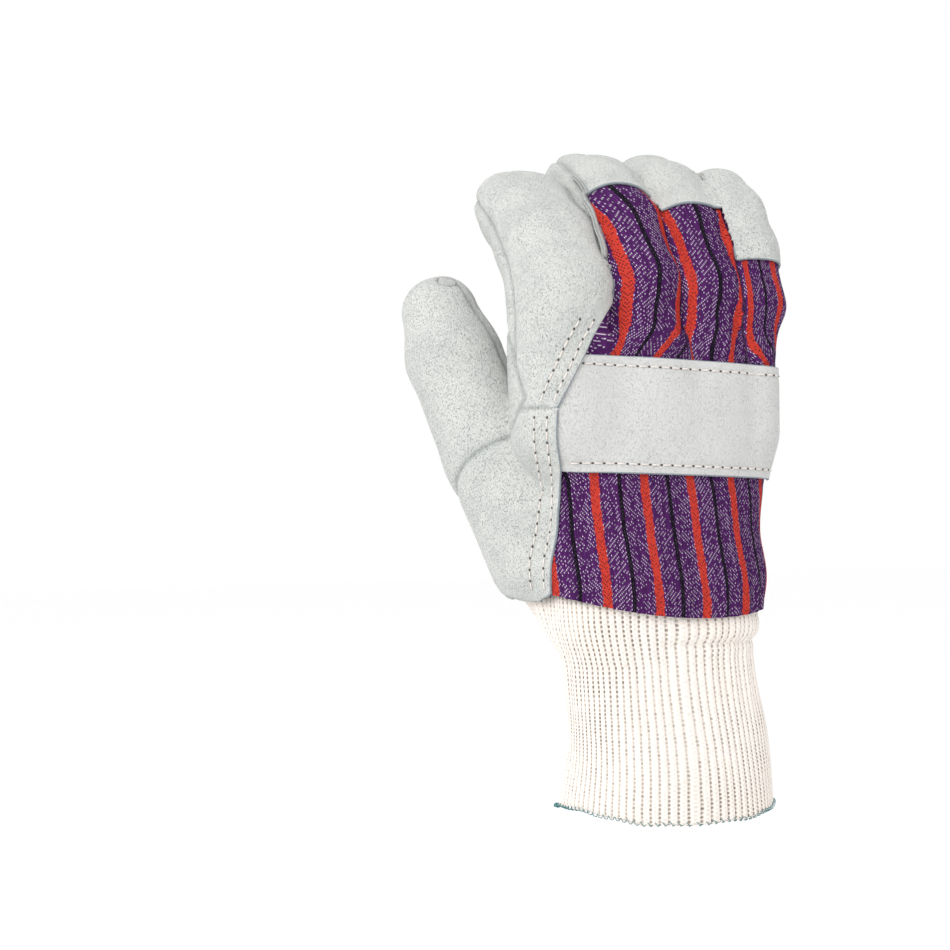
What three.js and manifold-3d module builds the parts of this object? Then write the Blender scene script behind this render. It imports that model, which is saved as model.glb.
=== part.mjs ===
// A right-hand work glove: split-leather palm, thumb, index finger and fingertips, a striped canvas
// back, a leather strap over the knuckles and a rib-knit cuff. It keeps the form that a hand gives it.
//
// Millimetres. +Z runs from the wrist opening, which is centred on the origin, up to the fingertips.
// The back of the hand faces -Y and the palm +Y. The thumb lies on the -X side.
import * as THREE from "three";
import { mergeVertices } from "three/addons/utils/BufferGeometryUtils.js";
import Module from "manifold-3d";

const wasm = await Module();
wasm.setup();

// Walls. A level is a distance from the hand's form, positive outwards.
const SKIN = { out: 1.5, in: 0 };
const STRAP_SKIN = { out: 3.5, in: 2 }; // the strap is sewn on over the canvas
const KNIT_WALL = 1.8;
const SEAM_GAP = 0.5; // left clear between two pieces that are sewn together

// The palm of the form: an upright tube of ovals. x is the centre, wide and deep are half sizes.
const PALM = [
  { z: 60, x: 0, wide: 43, deep: 21.5 },
  { z: 80, x: 0, wide: 44, deep: 22 },
  { z: 95, x: 0, wide: 45.5, deep: 22.5 },
  { z: 112, x: -0.5, wide: 43.5, deep: 21.5 },
  { z: 133, x: -0.5, wide: 46, deep: 21 },
  { z: 152, x: 0.5, wide: 48.5, deep: 20 },
  { z: 168, x: 1, wide: 49.5, deep: 18.5 },
];
// Fingers, rooted inside the palm at ROOT. Each segment has a length and a bend from upright in degrees.
// wide and deep are half sizes at the root and after each segment.
// cap is how far along the finger the leather fingertip begins.
const ROOT = { y: -1, z: 150 };
const FINGERS = [
  {
    name: "index", x: -40, length: [50, 22, 22, 12], bend: [2, 33, 50, 68],
    wide: [17, 17, 16.5, 15.5, 13], deep: [17, 16, 15, 14, 11.5],
  },
  {
    name: "middle", x: -8, length: [54, 26, 24, 16], bend: [2, 30, 50, 68],
    wide: [15.5, 15, 15, 14.5, 12.5], deep: [17, 15.5, 14.5, 13.5, 11], cap: 88,
  },
  {
    name: "ring", x: 19, length: [52, 26, 22, 14], bend: [2, 26, 42, 58],
    wide: [15, 14.5, 14, 13.5, 12], deep: [17, 15, 14, 13, 10.5], cap: 79,
  },
  {
    name: "little", x: 40, length: [46, 22, 18, 12], bend: [0, 14, 28, 40],
    wide: [13.5, 13, 12.5, 12, 11], deep: [16, 14, 13, 12, 10], cap: 62,
  },
];
// Where two fingers part: the plane between them, and the height of the fork.
const FORKS = [
  { x: -23.5, z: 192 },
  { x: 5.7, z: 187 },
  { x: 30.7, z: 195 },
];
// The thumb's joints, with half sizes across and through.
const THUMB = [
  { x: -35, y: 18, z: 104, wide: 22, deep: 22 },
  { x: -52, y: 29, z: 141, wide: 20, deep: 18.5 },
  { x: -66, y: 38, z: 178, wide: 18, deep: 16.5 },
  { x: -69.5, y: 42, z: 194, wide: 15, deep: 13 },
];
const THUMB_ACROSS = new THREE.Vector3(0.45, 0.89, 0).normalize();
// How far the shapes run into each other where they meet.
const BLEND = { joint: 3, fingers: 3, palm: 8, thumb: 8 };
const SUNK = 2;
const OVAL_POWER = 2.3; // a little fuller than an ellipse

// Folds pressed into the form: centre, direction of the crease, half length, half width and depth.
const FOLDS = [
  { x: -40, y: 17, z: 196, along: [1, 0, 0.1], length: 15, width: 6, depth: 2.4 },
  { x: -8, y: 16, z: 199, along: [1, 0, 0], length: 14, width: 6, depth: 2.8 },
  { x: 19, y: 15, z: 197, along: [1, 0, -0.1], length: 13, width: 6, depth: 2.6 },
  { x: 40, y: 15, z: 190, along: [1, 0, -0.1], length: 13, width: 5.5, depth: 2.2 },
  { x: -9, y: 27, z: 214, along: [1, 0, 0], length: 13, width: 5, depth: 1.8 },
  { x: 19, y: 24, z: 214, along: [1, 0, 0], length: 12, width: 5, depth: 1.6 },
  { x: -32, y: 40, z: 117, along: [-0.8, 0.1, 0.55], length: 24, width: 6, depth: 2.8 },
  { x: -12, y: 21, z: 138, along: [-0.35, 0, 0.94], length: 30, width: 8, depth: 2.4 },
  { x: 22, y: 21, z: 122, along: [0.5, 0, 0.86], length: 22, width: 7, depth: 1.6 },
  { x: -56, y: 14, z: 120, along: [-0.6, 0.3, 0.74], length: 18, width: 5.5, depth: 2.2 },
  { x: -3, y: -16, z: 193, along: [0.8, 0, 0.6], length: 12, width: 5, depth: 1.6 },
  { x: 24, y: -15, z: 191, along: [0.9, 0, -0.3], length: 12, width: 5, depth: 1.8 },
];

// Seams. Beside the hand the back meets the palm at side, as rows of y and z from the wrist upwards.
// The short seam below the index finger's back is a step in that line.
const INDEX_SEAM = 157;
const SIDES = {
  index: [
    { y: -4, z: 40 }, { y: -4, z: 95 }, { y: -6, z: 112 }, { y: -9, z: 129 }, { y: -13, z: 140 },
    { y: -16.5, z: 150 }, { y: -16.5, z: INDEX_SEAM }, { y: -1, z: INDEX_SEAM },
  ],
  little: [{ y: 17, z: 40 }, { y: 16, z: 80 }, { y: 11, z: 107 }, { y: 7, z: 125 }, { y: 1, z: 172 }],
  middle: [{ y: 0, z: 40 }],
  ring: [{ y: 0, z: 40 }],
};
const HEM = { z: 84, slope: -0.1 }; // the lower edge falls a little towards the little finger
const STRAP = { low: 133.3, high: 174.6, slope: -0.03 };
// The leather edge that runs from the strap to the fork between index and middle finger.
const SLANT = { x: -49.4, z: INDEX_SEAM, rise: 1.55 };
const FRONT_SEAM = { x: 5, z: 181, slope: -0.28 }; // across the roots of the middle and ring fingers
// The thumb is set in along two planes through the fork between thumb and index finger.
const THUMB_SEAM = {
  fork: new THREE.Vector3(-57, -6.5, 160),
  base: new THREE.Vector3(-0.08, 0.66, 0.75).normalize(),
  web: new THREE.Vector3(-0.68, 0.65, -0.35).normalize(),
  split: new THREE.Vector3(0.82, 0.55, 0.16).normalize(),
};
// The index finger bends over the thumb and stays above this plane, the thumb below it.
const OVER_THUMB = { at: new THREE.Vector3(0, 27, 201.5), down: new THREE.Vector3(0, 0.6, -1).normalize() };

// The cuff: ovals from the rim up, with half sizes to the middle of the ribs. join is how far the section
// has turned into the glove's own lower edge, which it goes up inside.
const CUFF = [
  { z: 0, x: 5, wide: 44.5, deep: 21, join: 0 },
  { z: 28, x: 4.5, wide: 42.5, deep: 20, join: 0 },
  { z: 64, x: 1.5, wide: 39, deep: 18, join: 0 },
  { z: 78, x: 0, wide: 41, deep: 19, join: 1 },
  { z: 91, x: 0, wide: 41, deep: 19, join: 1 },
];
const TUCK = 2.6; // clear of the leather's inside
const RIBS = { count: 78, height: 0.5 };
const RIM = { wave: 2.2, fade: 30 }; // the rim rises at the sides; the wave fades out above it

// Grid for the form's surface. The outer faces get the finer step.
const NET = { low: new THREE.Vector3(-95, -38, 33), high: new THREE.Vector3(68, 80, 272) };
const STEP = { out: 8, in: 10.2 };
const WELD = 0.01; // corners that a cut leaves closer than this are made one
const FAR = 300;
const UP = new THREE.Vector3(0, 0, 1);
const spare = new THREE.Vector3();

// The form, as a distance function: below zero inside, zero on the surface.

// Distance from an oval section, from the offset to its centre. across is the direction of its width.
function ovalDistance(offset, across, wide, deep) {
  const distance = offset.length();
  const side = Math.abs(offset.dot(across));
  const rest = Math.sqrt(Math.max(distance ** 2 - side ** 2, 0));
  const ratio = ((side / wide) ** OVAL_POWER + (rest / deep) ** OVAL_POWER) ** (1 / OVAL_POWER);
  return ratio > 0.2 ? distance * (1 - 1 / ratio) : -0.8 * Math.min(wide, deep);
}

// A row of a table at any height, on a smooth curve through its rows.
function rowAt(rows, z) {
  const i = THREE.MathUtils.clamp(rows.findLastIndex((row) => row.z <= z), 0, rows.length - 2);
  const t = THREE.MathUtils.clamp((z - rows[i].z) / (rows[i + 1].z - rows[i].z), 0, 1);
  const near = [rows[i - 1] ?? rows[i], rows[i], rows[i + 1], rows[i + 2] ?? rows[i + 1]];
  const mix = (key) => {
    const [a, b, c, d] = near.map((row) => row[key]);
    return b + 0.5 * t * (c - a + t * (2 * a - 5 * b + 4 * c - d + t * (3 * (b - c) + d - a)));
  };
  const height = rows[i].z + (rows[i + 1].z - rows[i].z) * t;
  return { z: height, x: mix("x"), wide: mix("wide"), deep: mix("deep") };
}

const ACROSS = new THREE.Vector3(1, 0, 0);
function palmDistance(p) {
  const row = rowAt(PALM, p.z);
  return ovalDistance(spare.set(p.x - row.x, p.y, p.z - row.z), ACROSS, row.wide, row.deep);
}

function boneDistance(p, a, b, across) {
  spare.subVectors(b.p, a.p);
  const reach = (p.x - a.p.x) * spare.x + (p.y - a.p.y) * spare.y + (p.z - a.p.z) * spare.z;
  const t = THREE.MathUtils.clamp(reach / spare.lengthSq(), 0, 1);
  const offset = spare.multiplyScalar(-t).sub(a.p).add(p);
  return ovalDistance(offset, across, a.wide + (b.wide - a.wide) * t, a.deep + (b.deep - a.deep) * t);
}

// The smaller of two distances, rounded where they are alike.
function blend(a, b, k) {
  const h = THREE.MathUtils.clamp(0.5 + (0.5 * (b - a)) / k, 0, 1);
  return b + (a - b) * h - k * h * (1 - h);
}

function chainDistance(p, nodes, across, k) {
  const bones = nodes.slice(1).map((end, i) => boneDistance(p, nodes[i], end, across));
  return bones.reduce((a, b) => blend(a, b, k));
}

// A finger's joints, from its lengths and bends.
function fingerNodes({ x, length, bend, wide, deep }) {
  const p = new THREE.Vector3(x, ROOT.y, ROOT.z);
  const nodes = [{ p: p.clone(), wide: wide[0], deep: deep[0] }];
  length.forEach((reach, i) => {
    const angle = THREE.MathUtils.degToRad(bend[i]);
    p.add(new THREE.Vector3(0, reach * Math.sin(angle), reach * Math.cos(angle)));
    nodes.push({ p: p.clone(), wide: wide[i + 1], deep: deep[i + 1] });
  });
  return nodes;
}
const fingerChains = FINGERS.map(fingerNodes);
const thumbChain = THUMB.map(({ x, y, z, wide, deep }) => ({ p: new THREE.Vector3(x, y, z), wide, deep }));

// Depth of the folds at a point: rounded grooves that fade out at their ends.
const creases = FOLDS.map(({ x, y, z, along, ...sizes }) => ({
  centre: new THREE.Vector3(x, y, z),
  line: new THREE.Vector3(...along).normalize(),
  ...sizes,
}));
function foldDepth(p) {
  return creases.reduce((sum, { centre, line, length, width, depth }) => {
    spare.subVectors(p, centre);
    const along = spare.dot(line);
    const aside = spare.lengthSq() - along ** 2;
    return sum + depth * Math.exp(-((along / length) ** 2) - aside / width ** 2);
  }, 0);
}

function handDistance(p) {
  const fingers = fingerChains
    .map((nodes) => chainDistance(p, nodes, ACROSS, BLEND.joint))
    .reduce((a, b) => blend(a, b, BLEND.fingers));
  return blend(palmDistance(p), fingers, BLEND.palm) + foldDepth(p);
}

// The thumb brings the palm with it, a little sunk, so that it swells out of the hand.
function thumbDistance(p) {
  const thumb = chainDistance(p, thumbChain, THUMB_ACROSS, BLEND.joint);
  return blend(palmDistance(p) + SUNK, thumb, BLEND.thumb) + foldDepth(p);
}

// Solids from meshes.

function solidOf(positions, triangles) {
  const build = (list) =>
    new wasm.Manifold(
      new wasm.Mesh({
        numProp: 3,
        vertProperties: Float32Array.from(positions),
        triVerts: Uint32Array.from(list),
      }),
    );
  const solid = build(triangles);
  return solid.volume() > 0 ? solid : build([...triangles].reverse());
}

// A geometry with the corners that lie closer than a tolerance made one, and no flat triangles left.
function welded(geometry, tolerance) {
  geometry.deleteAttribute("normal").deleteAttribute("uv");
  const merged = mergeVertices(geometry, tolerance);
  const index = Array.from(merged.index.array);
  const kept = index.filter((_, i) => {
    const [a, b, c] = index.slice(i - (i % 3), i - (i % 3) + 3);
    return a !== b && b !== c && c !== a;
  });
  return solidOf(merged.attributes.position.array, kept);
}
const solidOfGeometry = (geometry) => welded(geometry, 1e-4);

// The corners of a unit cube, and the pairs of them that its edges join.
const CORNERS = Array.from({ length: 8 }, (_, i) => [i >> 2, (i >> 1) & 1, i & 1]);
const EDGES = CORNERS.flatMap((a) =>
  [0, 1, 2]
    .filter((axis) => a[axis] === 0)
    .map((axis) => [a, a.map((value, n) => value + (n === axis ? 1 : 0))]),
);

// Moves a point along the slope of a distance function until it lies at a level.
function settle(p, distance, level) {
  const step = 0.05;
  for (let round = 0; round < 3; round++) {
    const slope = new THREE.Vector3();
    for (const axis of ["x", "y", "z"]) {
      const from = p[axis];
      p[axis] = from + step;
      const ahead = distance(p);
      p[axis] = from - step;
      slope[axis] = (ahead - distance(p)) / (2 * step);
      p[axis] = from;
    }
    p.addScaledVector(slope, (level - distance(p)) / Math.max(slope.lengthSq(), 0.2));
  }
  return p;
}

// The solid inside a level of a distance function: one corner for each grid cube that the surface
// crosses, one face for each grid line that it crosses, then every corner is settled on the surface.
function solidInside(distance, level, step) {
  const { low, high } = NET;
  const size = ["x", "y", "z"].map((axis) => Math.ceil((high[axis] - low[axis]) / step) + 1);
  const place = ([i, j, k]) => (i * size[1] + j) * size[2] + k;
  const cells = [];
  const value = new Float32Array(size[0] * size[1] * size[2]);
  for (let i = 0; i < size[0]; i++)
    for (let j = 0; j < size[1]; j++)
      for (let k = 0; k < size[2]; k++) {
        const p = new THREE.Vector3(i, j, k).multiplyScalar(step).add(low);
        value[place([i, j, k])] = distance(p) - level;
        cells.push([i, j, k]);
      }
  const corner = new Int32Array(value.length).fill(-1);
  const points = [];
  for (const cell of cells) {
    if (cell.some((n, axis) => n + 1 >= size[axis])) continue;
    const centre = new THREE.Vector3();
    let crossings = 0;
    for (const [a, b] of EDGES) {
      const [va, vb] = [a, b].map((offset) => value[place(cell.map((n, axis) => n + offset[axis]))]);
      if (va < 0 === vb < 0) continue;
      centre.add(new THREE.Vector3(...a).lerp(new THREE.Vector3(...b), va / (va - vb)));
      crossings += 1;
    }
    if (crossings === 0) continue;
    corner[place(cell)] = points.length;
    centre.divideScalar(crossings).add(new THREE.Vector3(...cell)).multiplyScalar(step).add(low);
    points.push(settle(centre, distance, level));
  }
  const triangles = [];
  const shift = (cell, ...axes) => cell.map((n, axis) => n - (axes.includes(axis) ? 1 : 0));
  for (const cell of cells)
    for (const axis of [0, 1, 2]) {
      const [u, v] = [(axis + 1) % 3, (axis + 2) % 3];
      if (cell[axis] + 1 >= size[axis] || cell[u] === 0 || cell[v] === 0) continue;
      const next = cell.map((n, other) => n + (other === axis ? 1 : 0));
      const [inside, nextInside] = [value[place(cell)] < 0, value[place(next)] < 0];
      if (inside === nextInside) continue;
      const ring = [shift(cell, u, v), shift(cell, v), cell, shift(cell, u)].map((c) => corner[place(c)]);
      const [a, b, c, d] = inside ? ring : ring.reverse();
      triangles.push(a, b, c, a, c, d);
    }
  return solidOf(points.flatMap((p) => p.toArray()), triangles);
}

// A closed tube through rings of equal size, with a fan over each end.
function loft(rings) {
  const n = rings[0].length;
  const points = rings.flat();
  const triangles = [];
  for (let r = 0; r + 1 < rings.length; r++)
    for (let i = 0; i < n; i++) {
      const [a, b] = [r * n + i, r * n + ((i + 1) % n)];
      triangles.push(a, b, b + n, a, b + n, a + n);
    }
  for (const row of [0, rings.length - 1]) {
    const centre = rings[row].reduce((sum, p) => sum.add(p), new THREE.Vector3()).divideScalar(n);
    points.push(centre);
    for (let i = 0; i < n; i++) {
      const [a, b] = [row * n + i, row * n + ((i + 1) % n)];
      triangles.push(...(row === 0 ? [b, a] : [a, b]), points.length - 1);
    }
  }
  return solidOf(points.flatMap((p) => p.toArray()), triangles);
}

// Everything on the side of a plane that its normal points to. A positive shift moves the plane that way.
function beyond(at, normal, shift = 0) {
  const block = new THREE.BoxGeometry(2 * FAR, 2 * FAR, 2 * FAR).translate(0, 0, FAR + shift);
  block.applyQuaternion(new THREE.Quaternion().setFromUnitVectors(UP, normal)).translate(at.x, at.y, at.z);
  return solidOfGeometry(block);
}

// Everything between two values of x, above a height z.
function slab(from, to, z) {
  const block = new THREE.BoxGeometry(to - from, 2 * FAR, 2 * FAR);
  return solidOfGeometry(block.translate((from + to) / 2, 0, z + FAR));
}

// The space of one finger, up to the fork planes beside it.
const between = (i, inset) => [(FORKS[i - 1]?.x ?? -FAR) + inset, (FORKS[i]?.x ?? FAR) - inset];

// The seam between back and palm along one finger, seen from the side, from the wrist past the tip.
function sideLine(i) {
  const line = SIDES[FINGERS[i].name].map(({ y, z }) => new THREE.Vector2(y, z));
  line.push(...fingerChains[i].slice(1).map(({ p }) => new THREE.Vector2(p.y, p.z)));
  const [before, last] = line.slice(-2);
  line.push(last.clone().addScaledVector(last.clone().sub(before).normalize(), FAR / 3));
  return line;
}

// The back half of the glove. A positive shift widens it over the seams.
function backHalf(shift) {
  const parts = FINGERS.map((_, i) => {
    const line = sideLine(i);
    const moved = line.map((p, n) => {
      const way = (line[n + 1] ?? p).clone().sub(line[n - 1] ?? p).normalize();
      return p.clone().add(new THREE.Vector2(way.y, -way.x).multiplyScalar(shift));
    });
    const outline = [new THREE.Vector2(-FAR, moved[0].y), ...moved, new THREE.Vector2(-FAR, moved.at(-1).y)];
    const [from, to] = between(i, 0);
    const shape = new THREE.Shape(outline);
    const block = new THREE.ExtrudeGeometry(shape, { depth: to - from, bevelEnabled: false });
    block.applyMatrix4(new THREE.Matrix4().makeBasis(new THREE.Vector3(0, 1, 0), UP, ACROSS));
    return solidOfGeometry(block.translate(from, 0, 0));
  });
  return parts.reduce((a, b) => a.add(b));
}

// The point and direction of a finger at a distance along it.
function alongFinger(i, distance) {
  const { length } = FINGERS[i];
  let n = 0;
  let left = distance;
  while (n + 1 < length.length && left > length[n]) {
    left -= length[n];
    n += 1;
  }
  const [a, b] = [fingerChains[i][n].p, fingerChains[i][n + 1].p];
  const way = b.clone().sub(a).normalize();
  return { at: a.clone().addScaledVector(way, left), way };
}

// The glove as one skin, cut into its pieces.

// The form at a level, with its fingers parted. Walls that face each other at a fork stay apart.
function partedForm(level, step) {
  const inset = SEAM_GAP / 2 + SKIN.out - level;
  const hand = FORKS.reduce(
    (form, { x, z }) => form.subtract(slab(x - inset, x + inset, z - inset)),
    solidInside(handDistance, level, step),
  );
  return hand.add(solidInside(thumbDistance, level, step));
}
const hemWay = new THREE.Vector3(-HEM.slope, 0, 1).normalize();
const aboveHem = beyond(new THREE.Vector3(0, 0, HEM.z), hemWay);
const skin = partedForm(SKIN.out, STEP.out).subtract(partedForm(SKIN.in, STEP.in)).intersect(aboveHem);

const half = SEAM_GAP / 2;
const back = backHalf(-half);
const front = skin.subtract(backHalf(half));
const column = (i) => slab(...between(i, half), -FAR / 2);
const slantAt = new THREE.Vector3(SLANT.x, 0, SLANT.z);
const slantWay = new THREE.Vector3(SLANT.rise, 0, -1).normalize();
const rightOfSlant = (shift) => beyond(slantAt, slantWay, shift);
const frontAt = new THREE.Vector3(FRONT_SEAM.x, 0, FRONT_SEAM.z);
const frontWay = new THREE.Vector3(-FRONT_SEAM.slope, 0, 1).normalize();
const aboveFrontSeam = (shift) => beyond(frontAt, frontWay, shift);
const capSide = (i, shift) => {
  const { at, way } = alongFinger(i, FINGERS[i].cap);
  return beyond(at, way, shift).intersect(slab(...between(i, 0), -FAR / 2));
};
const thumbSide = (shift) =>
  beyond(THUMB_SEAM.fork, THUMB_SEAM.base, shift)
    .intersect(beyond(THUMB_SEAM.fork, THUMB_SEAM.web, shift))
    .intersect(beyond(OVER_THUMB.at, OVER_THUMB.down));
const thumbSplit = (shift) => beyond(thumbChain[2].p, THUMB_SEAM.split, shift);
const indexSide = (shift) => slab(...between(0, shift), INDEX_SEAM + shift).subtract(rightOfSlant(-shift));

function makePalm() {
  const roots = slab(FORKS[0].x - half, FORKS[2].x + half, -FAR / 2);
  return front.subtract(roots.intersect(aboveFrontSeam(-half))).subtract(thumbSide(-half));
}
const makeIndexBack = () => skin.intersect(back).intersect(indexSide(half)).subtract(thumbSide(-half));
const makeThumbBack = () => skin.intersect(thumbSide(half)).subtract(thumbSplit(-half));
const makeThumbFront = () => skin.intersect(thumbSide(half)).intersect(thumbSplit(half));
const makeFront = (i) => front.intersect(column(i)).intersect(aboveFrontSeam(half));
const makeTip = (i) => skin.intersect(back).intersect(column(i)).intersect(capSide(i, half));

function makeHandBack() {
  const sheet = skin.intersect(back).subtract(indexSide(-half));
  return [1, 2, 3].reduce((rest, i) => rest.subtract(capSide(i, -half)), sheet);
}

function makeStrap() {
  const way = new THREE.Vector3(-STRAP.slope, 0, 1).normalize();
  return solidInside(handDistance, STRAP_SKIN.out, STEP.out)
    .subtract(solidInside(handDistance, STRAP_SKIN.in, STEP.out))
    .intersect(back)
    .intersect(beyond(new THREE.Vector3(0, 0, STRAP.low), way))
    .subtract(beyond(new THREE.Vector3(0, 0, STRAP.high), way))
    .intersect(rightOfSlant(half));
}

// The farthest point from the wrist's axis that lies inside the glove's skin, at a height and an angle.
function insideSkin(z, angle) {
  const way = new THREE.Vector3(Math.cos(angle), Math.sin(angle), 0);
  const p = new THREE.Vector3(0, 0, z);
  const inside = () => Math.min(handDistance(p), thumbDistance(p)) < SKIN.in - TUCK;
  const step = 0.25;
  while (inside()) p.addScaledVector(way, step);
  return p;
}

function makeCuff() {
  // A ring of the cuff: offset moves it outwards, and every second point stands on a rib.
  const ring = (row, count, offset, rib) =>
    Array.from({ length: count }, (_, i) => {
      const turn = (2 * Math.PI * i) / count;
      const out = offset + (i % 2 ? rib : -rib) / 2;
      const round = (value) => Math.sign(value) * Math.abs(value) ** (2 / OVAL_POWER);
      const fade = Math.max(1 - row.z / RIM.fade, 0);
      const point = new THREE.Vector3(
        row.x + (row.wide + out) * round(Math.cos(turn)),
        (row.deep + out) * round(Math.sin(turn)),
        row.z + RIM.wave * fade * Math.cos(2 * turn),
      );
      if (row.join === 0) return point;
      const joined = insideSkin(row.z, Math.atan2(point.y, point.x));
      const reach = Math.hypot(joined.x, joined.y);
      return point.lerp(joined.multiplyScalar((reach + out) / reach).setZ(row.z), row.join);
    });
  const outside = loft(CUFF.map((row) => ring(row, 2 * RIBS.count, 0, RIBS.height)));
  const [first, last] = [CUFF[0], CUFF.at(-1)];
  const rows = [{ ...first, z: -3 * KNIT_WALL }, ...CUFF, { ...last, z: last.z + KNIT_WALL }];
  return outside.subtract(loft(rows.map((row) => ring(row, RIBS.count / 3, -KNIT_WALL, 0))));
}

const finish = {
  leather: { color: 0xd9dbd4, roughness: 0.95, metalness: 0 },
  canvas: { color: 0x56307a, roughness: 0.9, metalness: 0 },
  knit: { color: 0xece6da, roughness: 0.95, metalness: 0 },
};

// The largest body of a solid, without the crumbs that a cut leaves.
const largest = (solid) => solid.decompose().reduce((a, b) => (a.volume() > b.volume() ? a : b));

function geometryOf(solid) {
  const { vertProperties, triVerts } = solid.getMesh();
  const geometry = new THREE.BufferGeometry();
  geometry.setAttribute("position", new THREE.BufferAttribute(vertProperties, 3));
  return geometry.setIndex(new THREE.BufferAttribute(triVerts, 1));
}

function meshOf(name, solid, material) {
  const clean = welded(geometryOf(largest(solid)), WELD);
  const geometry = geometryOf(largest(clean));
  geometry.computeVertexNormals();
  const mesh = new THREE.Mesh(geometry, new THREE.MeshStandardMaterial(finish[material]));
  mesh.name = name;
  return mesh;
}

const glove = new THREE.Group();
glove.add(
  meshOf("palm_leather", makePalm(), "leather"),
  meshOf("index_back", makeIndexBack(), "leather"),
  meshOf("thumb_back", makeThumbBack(), "leather"),
  meshOf("thumb_front", makeThumbFront(), "leather"),
  meshOf("middle_front", makeFront(1), "leather"),
  meshOf("ring_front", makeFront(2), "leather"),
  meshOf("middle_tip", makeTip(1), "leather"),
  meshOf("ring_tip", makeTip(2), "leather"),
  meshOf("little_tip", makeTip(3), "leather"),
  meshOf("hand_back", makeHandBack(), "canvas"),
  meshOf("knuckle_strap", makeStrap(), "leather"),
  meshOf("knit_cuff", makeCuff(), "knit"),
);

export default glove;
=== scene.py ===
# %% [markdown]
# # A leather work glove, shown as if worn
#
# A work glove is cut flat from split leather and striped canvas, sewn inside out and turned. Worn, it
# takes the form of a hand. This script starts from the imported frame, which fixes where everything is,
# and makes each piece of leather, cloth, knit and thread on top of it. All sizes are in millimetres
# and become metres only when a mesh is made.

# %% The frame
import bpy
import numpy as np
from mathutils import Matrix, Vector


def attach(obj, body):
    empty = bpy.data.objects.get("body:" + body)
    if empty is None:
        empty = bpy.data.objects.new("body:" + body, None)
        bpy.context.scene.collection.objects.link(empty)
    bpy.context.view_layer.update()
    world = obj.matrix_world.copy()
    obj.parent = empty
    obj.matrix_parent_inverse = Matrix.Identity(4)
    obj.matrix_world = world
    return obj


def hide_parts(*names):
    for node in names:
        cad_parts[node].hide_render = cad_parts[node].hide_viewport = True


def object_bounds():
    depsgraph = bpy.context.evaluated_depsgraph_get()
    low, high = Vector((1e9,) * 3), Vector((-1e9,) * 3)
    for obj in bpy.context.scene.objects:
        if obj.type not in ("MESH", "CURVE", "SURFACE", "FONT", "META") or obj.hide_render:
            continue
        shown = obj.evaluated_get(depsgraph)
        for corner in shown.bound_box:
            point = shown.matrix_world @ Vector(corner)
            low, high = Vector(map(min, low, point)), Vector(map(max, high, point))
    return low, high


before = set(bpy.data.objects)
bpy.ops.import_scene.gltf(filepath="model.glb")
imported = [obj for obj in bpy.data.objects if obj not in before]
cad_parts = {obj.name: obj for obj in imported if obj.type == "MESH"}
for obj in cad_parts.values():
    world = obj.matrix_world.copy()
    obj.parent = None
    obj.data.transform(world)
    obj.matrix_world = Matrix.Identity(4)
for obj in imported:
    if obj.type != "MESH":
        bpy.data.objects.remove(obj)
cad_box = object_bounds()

MM = 0.001
print("frame:", len(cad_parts), "nodes, box", [list(corner) for corner in cad_box])

# %% [markdown]
# ## The form of the hand
#
# The glove has no shape of its own: the hand inside gives it one. So the hand comes first, as a
# distance function. It says for any point how far it lies outside the hand, and is below zero inside.
# A hand could also be sculpted, but a function can be asked for its surface at any level, and that is
# what layers of leather and cloth need: each layer lies a little farther out than the one below.
#
# The palm is an upright tube of ovals. Each finger is a chain of tapering bones that bends towards the
# palm, and the thumb is one more chain. Where two shapes meet they are blended.

# %% Sizes of the form
OVAL_POWER = 2.3  # a little fuller than an ellipse
PALM = np.array([  # height, centre x, half width, half depth
    [60, 0, 43, 21.5], [80, 0, 44, 22], [95, 0, 45.5, 22.5], [112, -0.5, 43.5, 21.5],
    [133, -0.5, 46, 21], [152, 0.5, 48.5, 20], [168, 1, 49.5, 18.5],
])
ROOT = {"y": -1, "z": 150}
FINGERS = {  # segment lengths, bends in degrees, half widths and depths at the root and each joint
    "index": {"x": -40, "length": [50, 22, 22, 12], "bend": [2, 33, 50, 68],
              "wide": [17, 17, 16.5, 15.5, 13], "deep": [17, 16, 15, 14, 11.5]},
    "middle": {"x": -8, "length": [54, 26, 24, 16], "bend": [2, 30, 50, 68], "cap": 88,
               "wide": [15.5, 15, 15, 14.5, 12.5], "deep": [17, 15.5, 14.5, 13.5, 11]},
    "ring": {"x": 19, "length": [52, 26, 22, 14], "bend": [2, 26, 42, 58], "cap": 79,
             "wide": [15, 14.5, 14, 13.5, 12], "deep": [17, 15, 14, 13, 10.5]},
    "little": {"x": 40, "length": [46, 22, 18, 12], "bend": [0, 14, 28, 40], "cap": 62,
               "wide": [13.5, 13, 12.5, 12, 11], "deep": [16, 14, 13, 12, 10]},
}
FORKS = [(-23.5, 192), (5.7, 187), (30.7, 195)]  # between two fingers: x, and the height of the fork
THUMB = [  # joints, half width, half depth
    ((-35, 18, 104), 22, 22), ((-52, 29, 141), 20, 18.5),
    ((-66, 38, 178), 18, 16.5), ((-69.5, 42, 194), 15, 13),
]
THUMB_ACROSS = np.array([0.45, 0.89, 0]) / np.hypot(0.45, 0.89)
ACROSS = np.array([1.0, 0, 0])
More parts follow.
